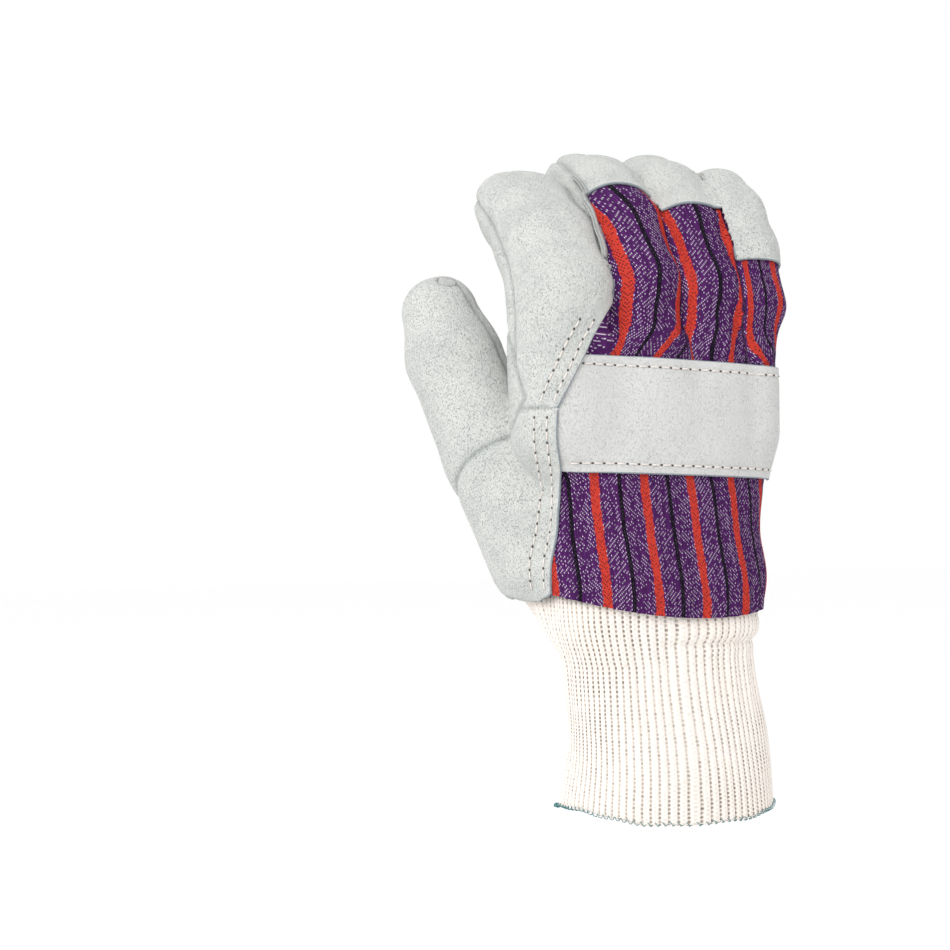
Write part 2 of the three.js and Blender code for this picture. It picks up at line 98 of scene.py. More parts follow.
FOLDS = [  # centre, direction of the crease, half length, half width, depth
    ((-40, 17, 196), (1, 0, 0.1), 15, 6, 2.4), ((-8, 16, 199), (1, 0, 0), 14, 6, 2.8),
    ((19, 15, 197), (1, 0, -0.1), 13, 6, 2.6), ((40, 15, 190), (1, 0, -0.1), 13, 5.5, 2.2),
    ((-9, 27, 214), (1, 0, 0), 13, 5, 1.8), ((19, 24, 214), (1, 0, 0), 12, 5, 1.6),
    ((-32, 40, 117), (-0.8, 0.1, 0.55), 24, 6, 2.8), ((-12, 21, 138), (-0.35, 0, 0.94), 30, 8, 2.4),
    ((22, 21, 122), (0.5, 0, 0.86), 22, 7, 1.6), ((-56, 14, 120), (-0.6, 0.3, 0.74), 18, 5.5, 2.2),
    ((-3, -16, 193), (0.8, 0, 0.6), 12, 5, 1.6), ((24, -15, 191), (0.9, 0, -0.3), 12, 5, 1.8),
]


# %% The distance function
def unit(v):
    return np.asarray(v, float) / np.linalg.norm(v)


def unit_rows(v):
    return v / np.maximum(np.linalg.norm(v, axis=1), 1e-9)[:, None]


def signed_power(v, power):
    return np.sign(v) * np.abs(v) ** power


def oval_distance(offset, across, wide, deep):
    """The offset's length, times one minus one over how many times it goes into the oval."""
    far = np.linalg.norm(offset, axis=1)
    side = np.abs(offset @ across)
    rest = np.sqrt(np.maximum(far**2 - side**2, 0))
    ratio = ((side / wide) ** OVAL_POWER + (rest / deep) ** OVAL_POWER) ** (1 / OVAL_POWER)
    return np.where(ratio > 0.2, far * (1 - 1 / np.maximum(ratio, 0.2)), -0.8 * np.minimum(wide, deep))


def row_at(rows, z):
    """A table's row at any height: the cubic curve through its rows, with slopes from the neighbours."""
    i = np.clip(np.searchsorted(rows[:, 0], z, side="right") - 1, 0, len(rows) - 2)
    t = np.clip((z - rows[i, 0]) / (rows[i + 1, 0] - rows[i, 0]), 0, 1)[:, None]
    a, b, c, d = (rows[np.clip(i + k, 0, len(rows) - 1)] for k in (-1, 0, 1, 2))
    row = b + 0.5 * t * (c - a + t * (2 * a - 5 * b + 4 * c - d + t * (3 * (b - c) + d - a)))
    row[:, 0] = rows[i, 0] + (rows[i + 1, 0] - rows[i, 0]) * t[:, 0]
    return row


def palm_distance(p):
    height, x, wide, deep = row_at(PALM, p[:, 2]).T
    return oval_distance(np.stack([p[:, 0] - x, p[:, 1], p[:, 2] - height], 1), ACROSS, wide, deep)


def blend(a, b, reach):
    """The smaller of two distances, rounded off over the reach where they are alike."""
    h = np.clip(0.5 + 0.5 * (b - a) / reach, 0, 1)
    return b + (a - b) * h - reach * h * (1 - h)


def chain_distance(p, joints, across, reach=3):
    """Bones from joint to joint: the distance from the oval at the nearest point of each bone, blended."""
    total = None
    for (a, wide_a, deep_a), (b, wide_b, deep_b) in zip(joints, joints[1:]):
        line = np.subtract(b, a)
        t = np.clip((p - a) @ line / (line @ line), 0, 1)
        offset = p - a - t[:, None] * line
        bone = oval_distance(offset, across, wide_a + (wide_b - wide_a) * t, deep_a + (deep_b - deep_a) * t)
        total = bone if total is None else blend(total, bone, reach)
    return total


def finger_joints(finger):
    """Each joint is one segment further on: up by the cosine of its bend, towards the palm by the sine."""
    turn = np.radians(finger["bend"])
    steps = np.stack([0 * turn, np.sin(turn), np.cos(turn)], 1) * np.array(finger["length"])[:, None]
    places = np.array([finger["x"], ROOT["y"], ROOT["z"]]) + np.vstack([[0, 0, 0], np.cumsum(steps, 0)])
    return list(zip(places, finger["wide"], finger["deep"]))


CHAINS = {name: finger_joints(finger) for name, finger in FINGERS.items()}


def fold_depth(p, folds):
    """Rounded grooves: each one's depth times a bell curve along it and a narrower one across it."""
    total = np.zeros(len(p))
    for centre, way, length, width, depth in folds:
        offset = p - centre
        along = offset @ unit(way)
        aside = (offset**2).sum(1) - along**2
        total += depth * np.exp(-((along / length) ** 2) - aside / width**2)
    return total


def hand_distance(p):
    fingers = None
    for joints in CHAINS.values():
        one = chain_distance(p, joints, ACROSS)
        fingers = one if fingers is None else blend(fingers, one, 3)
    return blend(palm_distance(p), fingers, 8) + fold_depth(p, FOLDS)


def thumb_distance(p):
    chain = chain_distance(p, THUMB, THUMB_ACROSS)
    return blend(palm_distance(p) + 2, chain, 8) + fold_depth(p, FOLDS)


def glove_distance(p):
    """The hand with its fingers parted at the fork planes, joined with the thumb."""
    form = hand_distance(p)
    for x, z in FORKS:
        cut = np.maximum(np.abs(p[:, 0] - x) - 0.5, z - p[:, 2])
        form = -blend(-form, cut, 2.5)
    return blend(form, thumb_distance(p), 1.5)


# %% [markdown]
# ## One net over the whole form
#
# Leather and canvas panels share their seams, so they are all cut from one net of small squares that
# covers the form. The net is a surface net: a corner in every grid cube that the surface goes through,
# and a square for every grid line that crosses it. It is worked out with whole arrays. Every corner is
# then settled on the surface, down or up the slope of the distance.

# %% The net
STEP = 1.4
NET_LEVEL = 0.75  # outside the hand, between the canvas and the leather
NET_BOX = ((-95, -38, 74), (68, 80, 272))


def slope(field, p, reach=0.05):
    """How fast a field grows along x, y and z, from its values a little to both sides."""
    moves = np.eye(3) * reach
    return np.stack([(field(p + m) - field(p - m)) / (2 * reach) for m in moves], 1)


def settle(field, p, rounds=3):
    """Moves points along the slope until the field is zero there."""
    for _ in range(rounds):
        g = slope(field, p)
        p = p - (field(p) / np.maximum((g * g).sum(1), 0.2))[:, None] * g
    return p


def surface_net(field, low, high, step):
    """Corners and squares of the surface where a field is zero, from its values on a grid."""
    axes = [np.arange(a, b + step, step) for a, b in zip(low, high)]
    shape = np.array([len(a) for a in axes])
    value = field(np.stack(np.meshgrid(*axes, indexing="ij"), -1).reshape(-1, 3)).reshape(shape)
    cells = shape - 1
    total, crossings = np.zeros([*cells, 3]), np.zeros(cells)
    corner = lambda c: value[tuple(slice(n, n + size) for n, size in zip(c, cells))]
    for a in np.ndindex(2, 2, 2):
        for axis in (n for n in range(3) if a[n] == 0):
            b = tuple(v + (n == axis) for n, v in enumerate(a))
            va, vb = corner(a), corner(b)
            crossed = (va < 0) != (vb < 0)
            t = np.where(crossed, va / np.where(crossed, va - vb, 1), 0)
            where = np.stack([a[n] + (t if n == axis else 0 * t) for n in range(3)], -1)
            total += np.where(crossed[..., None], where, 0)
            crossings += crossed
    has = crossings > 0
    index = np.full(cells, -1)
    index[has] = np.arange(has.sum())
    points = (np.argwhere(has) + total[has] / crossings[has][:, None]) * step + low
    squares = []
    for axis in range(3):
        u, v = (axis + 1) % 3, (axis + 2) % 3
        lined = np.moveaxis(value, axis, 0)
        va, vb = lined[:-1], lined[1:]
        at = np.argwhere((va < 0) != (vb < 0))
        inside = (va < 0)[tuple(at.T)]
        places = np.empty_like(at)
        places[:, [axis] + [n for n in range(3) if n != axis]] = at
        ok = (places[:, u] > 0) & (places[:, v] > 0) & (places[:, u] < cells[u]) & (places[:, v] < cells[v])
        places, inside = places[ok], inside[ok]
        eu, ev = np.eye(3, dtype=int)[u], np.eye(3, dtype=int)[v]
        square = np.stack([index[tuple((places - e).T)] for e in (eu + ev, ev, 0 * eu, eu)], 1)
        squares.append(np.where(inside[:, None], square, square[:, ::-1]))
    return points, np.concatenate(squares)


net_points, net_squares = surface_net(lambda p: glove_distance(p) - NET_LEVEL, *NET_BOX, STEP)
net_points = settle(lambda p: glove_distance(p) - NET_LEVEL, net_points)
print("net:", len(net_points), "corners,", len(net_squares), "squares")

# %% [markdown]
# ## The seams
#
# A seam is where a plane or a bent sheet goes through the form. For each one a signed distance says on
# which side of it a point lies and how far away. A panel is then the part of the net where the smallest
# of its own distances is above zero, and that same number is the distance from the panel's edge. It
# rolls the leather in at a turned seam, and it keeps the stitches parallel to the edge.

# %% Sizes of the seams
SIDES = {  # where the back meets the palm, y and z from the wrist up to the finger's first joint
    "index": [(-1, 40), (-1, 157)],
    "little": [(17, 40), (16, 80), (11, 107), (7, 125), (1, 172)],
    "middle": [(0, 40)], "ring": [(0, 40)],
}
HEM = {"back": 81, "lowest_x": 15, "bend": 0.0024, "palm": 81.5, "slope": -0.12}
STRAP = {"low": 133.3, "high": 174.6, "slope": -0.03}
WRAP = np.array([  # the edge of the leather that wraps the thumb's side of the back: height, x and y
    [80, -45.6, -4.2], [100.8, -45.8, -4.5], [112, -44, -5.8], [128.7, -44.4, -8.9], [136.2, -46.1, -12.4],
    [147, -48.3, -15], [158.5, -49.4, -16.4], [170, -49.4, -16.4],
])
INDEX_SEAM = 157
SLANT = {"x": -49.4, "rise": 2.2, "bend": -0.026, "reach": 40}  # a curve up from the short seam
FRONT_SEAM = np.array([  # x and height of the curved seam across the roots of middle and ring finger
    [-23.5, 193], [-17, 189.5], [-12, 186.6], [-7, 183], [-2, 180.6], [4, 180.2], [9, 180.2], [14, 178.8],
    [19, 175.6], [24, 173.8], [28, 175.2], [31, 180],
])
SEAM_SHIFT = 9  # the middle finger's seam beside the index finger lies this much towards the back
LAP, PAST_FORK = 4, 1.5  # how far the canvas goes on under a leather edge, and past a fork
LIMIT = 40  # how many times a limit's distance counts, so that a seam is always nearer
THUMB_FORK = np.array([-57, -6.5, 160])
THUMB_WAYS = [unit((-0.08, 0.66, 0.75)), unit((-0.68, 0.65, -0.35))]
THUMB_SPLIT = unit((0.82, 0.55, 0.16))
OVER_THUMB = {"at": np.array([0, 27, 201.5]), "down": unit((0, 0.6, -1))}


# %% Signed distances to the seams
def eased(value, start, end):
    """From 0 at the start to 1 at the end, level at both: three times the square less twice the cube."""
    t = np.clip((value - start) / (end - start), 0, 1)
    return t * t * (3 - 2 * t)


def side_distance(p, name):
    """Distance in the yz plane from the line where back and palm meet; above zero on the palm's side."""
    line = SIDES[name] + [(y, z) for (_, y, z), _, _ in CHAINS[name][1:]]
    line.append(tuple(np.array(line[-1]) + 100 * unit(np.subtract(line[-1], line[-2]))))
    best, signed = np.full(len(p), np.inf), np.zeros(len(p))
    for a, b in zip(line, line[1:]):
        way = np.subtract(b, a)
        offset = p[:, 1:] - a
        t = np.clip(offset @ way / (way @ way), 0, 1)
        far = np.linalg.norm(offset - t[:, None] * way, axis=1)
        sign = np.sign(offset @ np.array([way[1], -way[0]]))
        nearer = far < best
        best, signed = np.where(nearer, far, best), np.where(nearer, sign * far, signed)
    return signed


def finger_point(name, distance):
    """The point and direction of a finger's middle line at a distance along it."""
    joints = np.array([place for place, _, _ in CHAINS[name]])
    starts = np.concatenate([[0], np.cumsum(FINGERS[name]["length"])])
    n = np.clip(np.searchsorted(starts, distance, side="right") - 1, 0, len(joints) - 2)
    way = unit(joints[n + 1] - joints[n])
    return joints[n] + way * (distance - starts[n]), way


def seams(p):
    """Every seam's signed distance at the points, by name. A finger's column is no seam, only a limit, so
    its distance counts many times; the same holds for the plane that keeps the thumb off the index."""
    x, y, z = p.T
    edges = [-300, *(fork for fork, _ in FORKS), 300]
    column = {name: LIMIT * np.minimum(x - a, b - x) for name, a, b in zip(FINGERS, edges, edges[1:])}
    nearest = np.argmax(np.stack(list(column.values())), 0)
    side = np.choose(nearest, [side_distance(p, name) for name in FINGERS])
    side += SEAM_SHIFT * (nearest == 1) * eased(-8 - x, 1, 11) * eased(z, 190, 203)
    _, wrap_x, wrap_y = row_at(WRAP, z).T
    wrap = ((wrap_x - x) + (y - wrap_y)) / np.sqrt(2)
    side = np.where(nearest == 0, np.maximum(side, np.minimum(wrap, INDEX_SEAM - z)), side)
    found = {"side": side, "wrap": wrap, "column": column, "x": x, "z": z}
    hem_back = HEM["back"] + HEM["bend"] * (x - HEM["lowest_x"]) ** 2
    hem_palm = HEM["palm"] + HEM["slope"] * x
    found["hem"] = z - hem_back - (hem_palm - hem_back) * eased(y, -6, 6)
    along = np.minimum(x - SLANT["x"], SLANT["reach"])
    rise = SLANT["rise"] + 2 * SLANT["bend"] * along
    found["slant"] = (z - INDEX_SEAM - SLANT["rise"] * along - SLANT["bend"] * along**2) / np.hypot(1, rise)
    beyond = np.minimum(z - INDEX_SEAM, found["slant"])
    found["index"] = np.minimum(column["index"], beyond)
    cloth = [np.minimum(column["index"] + LIMIT * PAST_FORK, LAP - beyond)]
    away = p - THUMB_FORK
    over = (p - OVER_THUMB["at"]) @ OVER_THUMB["down"]
    found["thumb"] = np.minimum(np.minimum(away @ THUMB_WAYS[0], away @ THUMB_WAYS[1]), LIMIT * over)
    found["split"] = (p - THUMB[2][0]) @ THUMB_SPLIT
    found["front"] = 0.95 * (z - np.interp(x, *FRONT_SEAM.T))
    for name in ("middle", "ring", "little"):
        at, way = finger_point(name, FINGERS[name]["cap"])
        found[name + "_cap"] = np.minimum((p - at) @ way, column[name])
        cloth.append(np.minimum(column[name] + LIMIT * PAST_FORK, LAP - (p - at) @ way))
    found["cloth"] = np.maximum.reduce(cloth)
    level = z - STRAP["slope"] * x
    found["strap_low"], found["strap_high"] = level - STRAP["low"], STRAP["high"] - level
    found["strap"] = np.minimum(found["strap_low"], found["strap_high"])
    return found


def smallest(*distances):
    return np.minimum.reduce(distances)


REGIONS = {
    "palm_leather": lambda s: smallest(
        s["side"], s["hem"], -s["thumb"],
        -smallest(np.maximum(s["column"]["middle"], s["column"]["ring"]), s["front"])),
    "index_back": lambda s: smallest(-s["side"], s["index"], -s["thumb"]),
    "thumb_back": lambda s: smallest(s["thumb"], -s["split"]),
    "thumb_front": lambda s: smallest(s["thumb"], s["split"]),
    "middle_front": lambda s: smallest(s["side"], s["column"]["middle"], s["front"]),
    "ring_front": lambda s: smallest(s["side"], s["column"]["ring"], s["front"]),
    "middle_tip": lambda s: smallest(-s["side"], s["middle_cap"]),
    "ring_tip": lambda s: smallest(-s["side"], s["ring_cap"]),
    "little_tip": lambda s: smallest(-s["side"], s["little_cap"]),
    "hand_back": lambda s: smallest(LAP - s["side"], s["cloth"], s["hem"]),
    "knuckle_strap": lambda s: smallest(s["strap"], LAP - s["slant"], -s["side"] + LAP * (s["x"] < 0)),
}


# %% [markdown]
# ## From a panel of the net to a piece of leather
#
# Each panel is cut out of the net along its seams and settled at its own level. It then gets a wall: the
# same faces again on the inside, and a half-round lip between the two along every edge. A Solidify
# modifier could do it too, but its flat rim shades badly under smooth shading, and the lip is what a
# cut edge of leather looks like.

# %% Cutting and thickening
def cut_out(region):
    """The net where the region is above zero. Corners near the edge move onto it; other faces are cut."""
    inside_of = lambda p: region(seams(p))
    points = net_points
    g = inside_of(points)
    near = np.flatnonzero(np.abs(g) < 0.35 * STEP)
    tilt = slope(inside_of, points[near])
    points = points.copy()
    points[near] -= (g[near] / np.maximum((tilt**2).sum(1), 0.2))[:, None] * tilt
    g[near] = 0
    inside = g >= 0
    whole = net_squares[inside[net_squares].all(1)]
    part = net_squares[inside[net_squares].any(1) & ~inside[net_squares].all(1)]
    corners = np.concatenate([part[:, [0, 1, 2]], part[:, [0, 2, 3]]])
    count = inside[corners].sum(1)
    triangles = [corners[count == 3]]
    ends = []
    for kept, odd in ((1, True), (2, False)):
        some = corners[count == kept]
        first = np.argmax(inside[some] == odd, 1)
        some = np.take_along_axis(some, (first[:, None] + [0, 1, 2]) % 3, 1)
        ends.append(some)
    one, two = ends
    pairs = np.concatenate([one[:, [0, 1]], one[:, [0, 2]], two[:, [1, 0]], two[:, [2, 0]]])
    keys, back = np.unique(pairs, axis=0, return_inverse=True)  # inside corner, outside corner
    t = g[keys[:, 0]] / (g[keys[:, 0]] - g[keys[:, 1]])
    added = points[keys[:, 0]] + (points[keys[:, 1]] - points[keys[:, 0]]) * t[:, None]
    number = np.where(g[keys[:, 0]] == 0, keys[:, 0], len(points) + np.arange(len(keys)))[back.ravel()]
    a, b = len(one), len(two)
    triangles.append(np.stack([one[:, 0], number[:a], number[a:2 * a]], 1))
    on_b, on_c = number[2 * a:2 * a + b], number[2 * a + b:]
    triangles.append(np.stack([on_b, two[:, 1], two[:, 2]], 1))
    triangles.append(np.stack([on_b, two[:, 2], on_c], 1))
    triangles = np.concatenate(triangles)
    x, y, z = triangles.T
    triangles = triangles[(x != y) & (y != z) & (z != x)]
    points = np.concatenate([points, added])
    used = np.unique(np.concatenate([whole.ravel(), triangles.ravel()]))
    renumber = np.zeros(len(points), int)
    renumber[used] = np.arange(len(used))
    return points[used], [renumber[whole], renumber[triangles]]


def corner_normals(points, faces):
    """The sum of the normals of the faces at each corner, made one long."""
    total = np.zeros_like(points)
    for face in faces:
        a, b, c = (points[face[:, k]] for k in (0, 1, -1))
        normal = np.cross(b - a, c - a)
        for k in range(face.shape[1]):
            np.add.at(total, face[:, k], normal)
    return unit_rows(total)


def with_wall(points, faces, wall, lip=0.5, rounds=4):
    """A closed wall. The lip's rings go from the outer edge to the inner one over half a circle: wall / 2
    times the cosine along the normal, and lip times the sine straight out from the edge. Also gives the
    first face of the lip, and for every corner the number of the panel's corner that it came from."""
    count = len(points)
    normal = corner_normals(points, faces)
    starts = np.concatenate([f.ravel() for f in faces])
    ends = np.concatenate([np.roll(f, -1, 1).ravel() for f in faces])
    border = ~np.isin(starts * count + ends, ends * count + starts)
    starts, ends = starts[border], ends[border]
    out = np.zeros_like(points)
    way = np.cross(points[ends] - points[starts], normal[starts])
    np.add.at(out, starts, way)
    np.add.at(out, ends, way)
    rim = np.unique(starts)
    for _ in range(2):  # each corner takes half of its direction from its neighbours along the edge
        near = np.zeros_like(out)
        np.add.at(near, starts, out[ends] / 2)
        np.add.at(near, ends, out[starts] / 2)
        out = out + near
    out = unit_rows(out[rim])
    middle = points[rim] - normal[rim] * wall / 2
    place = np.full(count, -1)
    place[rim] = np.arange(len(rim))
    turn = np.pi * np.arange(1, rounds) / rounds
    rings = [middle + normal[rim] * wall / 2 * np.cos(a) + out * lip * np.sin(a) for a in turn]
    added = [2 * count + k * len(rim) + np.arange(len(rim)) for k in range(rounds - 1)]
    number = [rim, *added, rim + count]
    a, b = place[ends], place[starts]
    lips = [np.stack([n[a], n[b], m[b], m[a]], 1) for n, m in zip(number, number[1:])]
    inner = [f[:, ::-1] + count for f in faces]
    everything = np.concatenate([points, points - normal * wall, *rings])
    source = np.concatenate([np.arange(count), np.arange(count), np.tile(rim, rounds - 1)])
    return everything, faces + inner + lips, sum(len(f) for f in faces + inner), source


# %% [markdown]
# ## Making a piece
#
# One helper turns arrays into a Blender object: it scales to metres, smooths the shading, gives the
# lip its own material, and parents the piece to the root body's empty.

# %% Helper for pieces
def make_piece(name, points, faces, materials, chosen=None, uv=None):
    """A mesh object from corner positions in millimetres and lists of squares or triangles."""
    mesh = bpy.data.meshes.new(name)
    loops = np.concatenate([f.ravel() for f in faces])
    sizes = np.concatenate([np.full(len(f), f.shape[1]) for f in faces])
    mesh.vertices.add(len(points))
    mesh.vertices.foreach_set("co", (points * MM).astype(np.float32).ravel())
    mesh.loops.add(len(loops))
    mesh.loops.foreach_set("vertex_index", loops.astype(np.int32))
    mesh.polygons.add(len(sizes))
    mesh.polygons.foreach_set("loop_start", (np.cumsum(sizes) - sizes).astype(np.int32))
    mesh.polygons.foreach_set("use_smooth", np.ones(len(sizes), bool))
    for material in materials:
        mesh.materials.append(material)
    if chosen is not None:
        mesh.polygons.foreach_set("material_index", chosen.astype(np.int32))
    if uv is not None:
        layer = mesh.uv_layers.new(name="Pattern")
        layer.data.foreach_set("uv", uv[loops].astype(np.float32).ravel())
    mesh.update(calc_edges=True)
    mesh.validate()
    piece = bpy.data.objects.new(name, mesh)
    bpy.context.scene.collection.objects.link(piece)
    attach(piece, "root")
    print(f"{name}: {len(points)} corners, {len(sizes)} faces")
    return piece


# %% [markdown]
# ## Materials: split suede
#
# Split leather is the inner layer of a hide. It has no smooth grain, only a short nap of fibres that
# lies one way, so it scatters light softly and shows small dark specks. A painted image could carry
# this, but noise in object coordinates fits every panel at the same scale. The nap is one node group,
# used for the panels, for the smoother strap and for the raw cut edges.

# %% Helper for nodes
class Value:
    """A number in a node tree. Arithmetic with it adds the math nodes that work it out."""

    def __init__(self, tree, socket):
        self.tree, self.socket = tree, socket

    def ramp(self, start, end):
        """From 0 at the start to 1 at the end, with a soft turn at both."""
        inputs = {"Value": self, "From Min": start, "From Max": end}
        made = node(self.tree, "MapRange", inputs, interpolation_type="SMOOTHSTEP")
        return Value(self.tree, made.outputs["Result"])

    def mix(self, a, b):
        """Colour a where the number is 0, colour b where it is 1."""
        a, b = ((*colour, 1) if isinstance(colour, tuple) else colour for colour in (a, b))
        return node(self.tree, "Mix", {"Factor": self, 6: a, 7: b}, data_type="RGBA").outputs[2]

    __add__ = lambda a, b: math("ADD", a, b)
    __sub__ = lambda a, b: math("SUBTRACT", a, b)
    __rsub__ = lambda a, b: math("SUBTRACT", b, a)
    __mul__ = lambda a, b: math("MULTIPLY", a, b)
    __truediv__ = lambda a, b: math("DIVIDE", a, b)
    __mod__ = lambda a, b: math("FLOORED_MODULO", a, b)
    __lt__ = lambda a, b: math("LESS_THAN", a, b)
    __abs__ = lambda a: math("ABSOLUTE", a)
    __round__ = lambda a: math("ROUND", a)
    floor = lambda a: math("FLOOR", a)
    fract = lambda a: math("FRACT", a)


def math(operation, *values):
    tree = next(value.tree for value in values if isinstance(value, Value))
    return Value(tree, node(tree, "Math", dict(enumerate(values)), operation=operation).outputs[0])


def node(tree, kind, inputs=None, **settings):
    """A shader node with its settings made and its inputs linked to sockets or set to values."""
    made = tree.nodes.new("ShaderNode" + kind)
    for name, value in settings.items():
        setattr(made, name, value)
    for name, value in (inputs or {}).items():
        value = getattr(value, "socket", value)
        if isinstance(value, bpy.types.NodeSocket):
            tree.links.new(value, made.inputs[name])
        else:
            made.inputs[name].default_value = value
    return made


def own_place(tree):
    return node(tree, "TexCoord").outputs["Object"]


def noise(tree, place, scale, detail, roughness=0.5):
    """Clouds from 0 to 1; the scale is how many there are to a metre."""
    inputs = {"Vector": place, "Scale": scale, "Detail": detail, "Roughness": roughness}
    return Value(tree, node(tree, "TexNoise", inputs).outputs["Fac"])


def chance_at(tree, x, y=None):
    """A random number from 0 to 1 for each number x, or for each pair of numbers."""
    if y is None:
        made = node(tree, "TexWhiteNoise", {"W": x}, noise_dimensions="1D")
    else:
        cell = node(tree, "CombineXYZ", {"X": x, "Y": y}).outputs["Vector"]
        made = node(tree, "TexWhiteNoise", {"Vector": cell}, noise_dimensions="2D")
    return Value(tree, made.outputs["Value"])


def pattern(tree):
    """The two numbers of the piece's UV map."""
    both = node(tree, "SeparateXYZ", {0: node(tree, "UVMap", uv_map="Pattern").outputs["UV"]})
    return Value(tree, both.outputs["X"]), Value(tree, both.outputs["Y"])


# %% The nap
def make_nap():
    """Suede's nap: cloudy patches 13 mm wide, a streaked fleece 0.7 mm wide and finer dark specks."""
    tree = bpy.data.node_groups.new("nap", "ShaderNodeTree")
    sockets = [("INPUT", "Colour", "Color"), ("INPUT", "Shade", "Color"), ("INPUT", "Strength", "Float"),
               ("OUTPUT", "Colour", "Color"), ("OUTPUT", "Height", "Float")]
    for way, label, kind in sockets:
        tree.interface.new_socket(label, in_out=way, socket_type="NodeSocket" + kind)
    given, out = tree.nodes.new("NodeGroupInput").outputs, tree.nodes.new("NodeGroupOutput").inputs
    place = own_place(tree)
    lean = node(tree, "Mapping", {"Vector": place, "Rotation": (0.3, 0.7, 0.4), "Scale": (1, 1, 0.7)})
    fleece = noise(tree, lean.outputs["Vector"], 1500, 3, 0.75)
    specks = noise(tree, lean.outputs["Vector"], 2300, 2, 0.8).ramp(0.56, 0.69)
    sparse = noise(tree, place, 190, 2, 0.6).ramp(0.38, 0.62)
    clouds = noise(tree, place, 75, 2, 0.6).ramp(0.35, 0.7)
    tone = clouds * 0.2 + fleece.ramp(0.38, 0.66) * 0.28
    share = (tone + specks * (sparse * 0.75 + 0.25) * 0.55) * Value(tree, given["Strength"])
    share = math("MINIMUM", share, 1)
    tree.links.new(share.mix(given["Colour"], given["Shade"]), out["Colour"])
    tree.links.new((fleece * 0.8 - specks * 0.5).socket, out["Height"])
    return tree


NAP = make_nap()
print("node group:", NAP.name)

# %% [markdown]
# Each leather then places the nap with its own colours. A UV map holds the distance from the panel's
# edge, so a little painted shade gathers along the turned seams, in the groove where the edges roll in.

# %% Leather, raw edges, thread and needle holes
def material(name, colour, roughness=0.95, gloss=0.2):
    made = bpy.data.materials.new(name)
    made.use_nodes = True
    tree = made.node_tree
    tree.nodes.clear()
    shader = node(tree, "BsdfPrincipled", {"Roughness": roughness, "Specular IOR Level": gloss})
    node(tree, "OutputMaterial", {"Surface": shader.outputs["BSDF"]})
    made.diffuse_color = (*colour, 1)
    return made, tree, shader


def finish_with(tree, shader, colour, height, depth):
    """Links the colour, and a bump of the height over the depth in metres, to the shader."""
    tree.links.new(colour, shader.inputs["Base Color"])
    lifted = node(tree, "Bump", {"Height": height, "Distance": depth, "Strength": 1.0})
    tree.links.new(lifted.outputs["Normal"], shader.inputs["Normal"])


def suede(name, colour, shade, strength=1.0, depth=0.0006, seam_shade=0.5):
    made, tree, shader = material(name, colour)
    inputs = {"Colour": (*colour, 1), "Shade": (*shade, 1), "Strength": strength}
    nap = node(tree, "Group", inputs, node_tree=NAP).outputs
    from_edge, _ = pattern(tree)
    # painted shade: within 1.6 mm of a turned seam's edge the nap darkens towards the shade colour, as in
    # the groove there
    shown = (from_edge.ramp(1.6, 0) * seam_shade).mix(nap["Colour"], shade)
    shader.inputs["Sheen Weight"].default_value = 0.25
    shader.inputs["Sheen Roughness"].default_value = 0.6
    finish_with(tree, shader, shown, nap["Height"], depth)
    return made


def plain(name, colour):
    """One colour, with grains of 0.4 mm in which it is darker by 28 parts in 100."""
    made, tree, shader = material(name, colour, 0.9)
    grain = noise(tree, own_place(tree), 2600, 1)
    shown = grain.ramp(0.3, 0.7).mix(colour, tuple(0.72 * c for c in colour))
    finish_with(tree, shader, shown, grain, 0.0001)
    return made


leather = suede("leather", (0.61, 0.62, 0.595), (0.26, 0.285, 0.28), 0.95)
strap_leather = suede("strap_leather", (0.575, 0.575, 0.565), (0.34, 0.35, 0.35), 0.5, 0.0003)
raw_edge = suede("raw_edge", (0.27, 0.31, 0.34), (0.12, 0.14, 0.16), 0.9, 0.0003, 0)
thread = plain("thread", (0.80, 0.74, 0.69))
# needle holes: dark lenses of painted shade
needle_hole_shade = plain("needle_hole_shade", (0.10, 0.09, 0.085))
overlock = plain("overlock", (0.09, 0.24, 0.25))
seam_edge = suede("seam_edge", (0.46, 0.47, 0.455), (0.19, 0.21, 0.215), 1.2, 0.0003, 0)
print("materials:", [made.name for made in bpy.data.materials])

# %% [markdown]
# ## Materials: striped canvas
#
# The canvas is a cotton twill. Purple yarns run up the hand, and white yarns cross them and show as
# flecks in slanting lines. The slant turns round at every stripe, which gives a herringbone. A red
# stripe about seven yarns wide follows every 18 mm or so, with a thin black one half way between.
#
# All of it follows one UV map: u counts the stripes and v is the way up in millimetres. So the weave
# bends with the cloth, and the cells stay cells on every finger.

# %% The weave
YARNS = 39  # from one red stripe to the next
ROW = 0.54  # height of one row of the weave
STRIPE_YARNS = {"red": 2.9, "ragged": 0.9, "black": 1.5}  # half widths; the red one's changes by the row
# the dyes of the yarns, and for the groove the painted shade in the dips between yarns
CANVAS_COLOURS = {"purple": (0.060, 0.012, 0.084), "light": (0.130, 0.030, 0.172), "dark": (0.04, 0.008, 0.065),
       "red": (0.62, 0.052, 0.030), "black": (0.006, 0.005, 0.008), "fleck": (0.72, 0.66, 0.76),
       "fleck in red": (0.06, 0.010, 0.016), "groove": (0.03, 0.008, 0.045)}


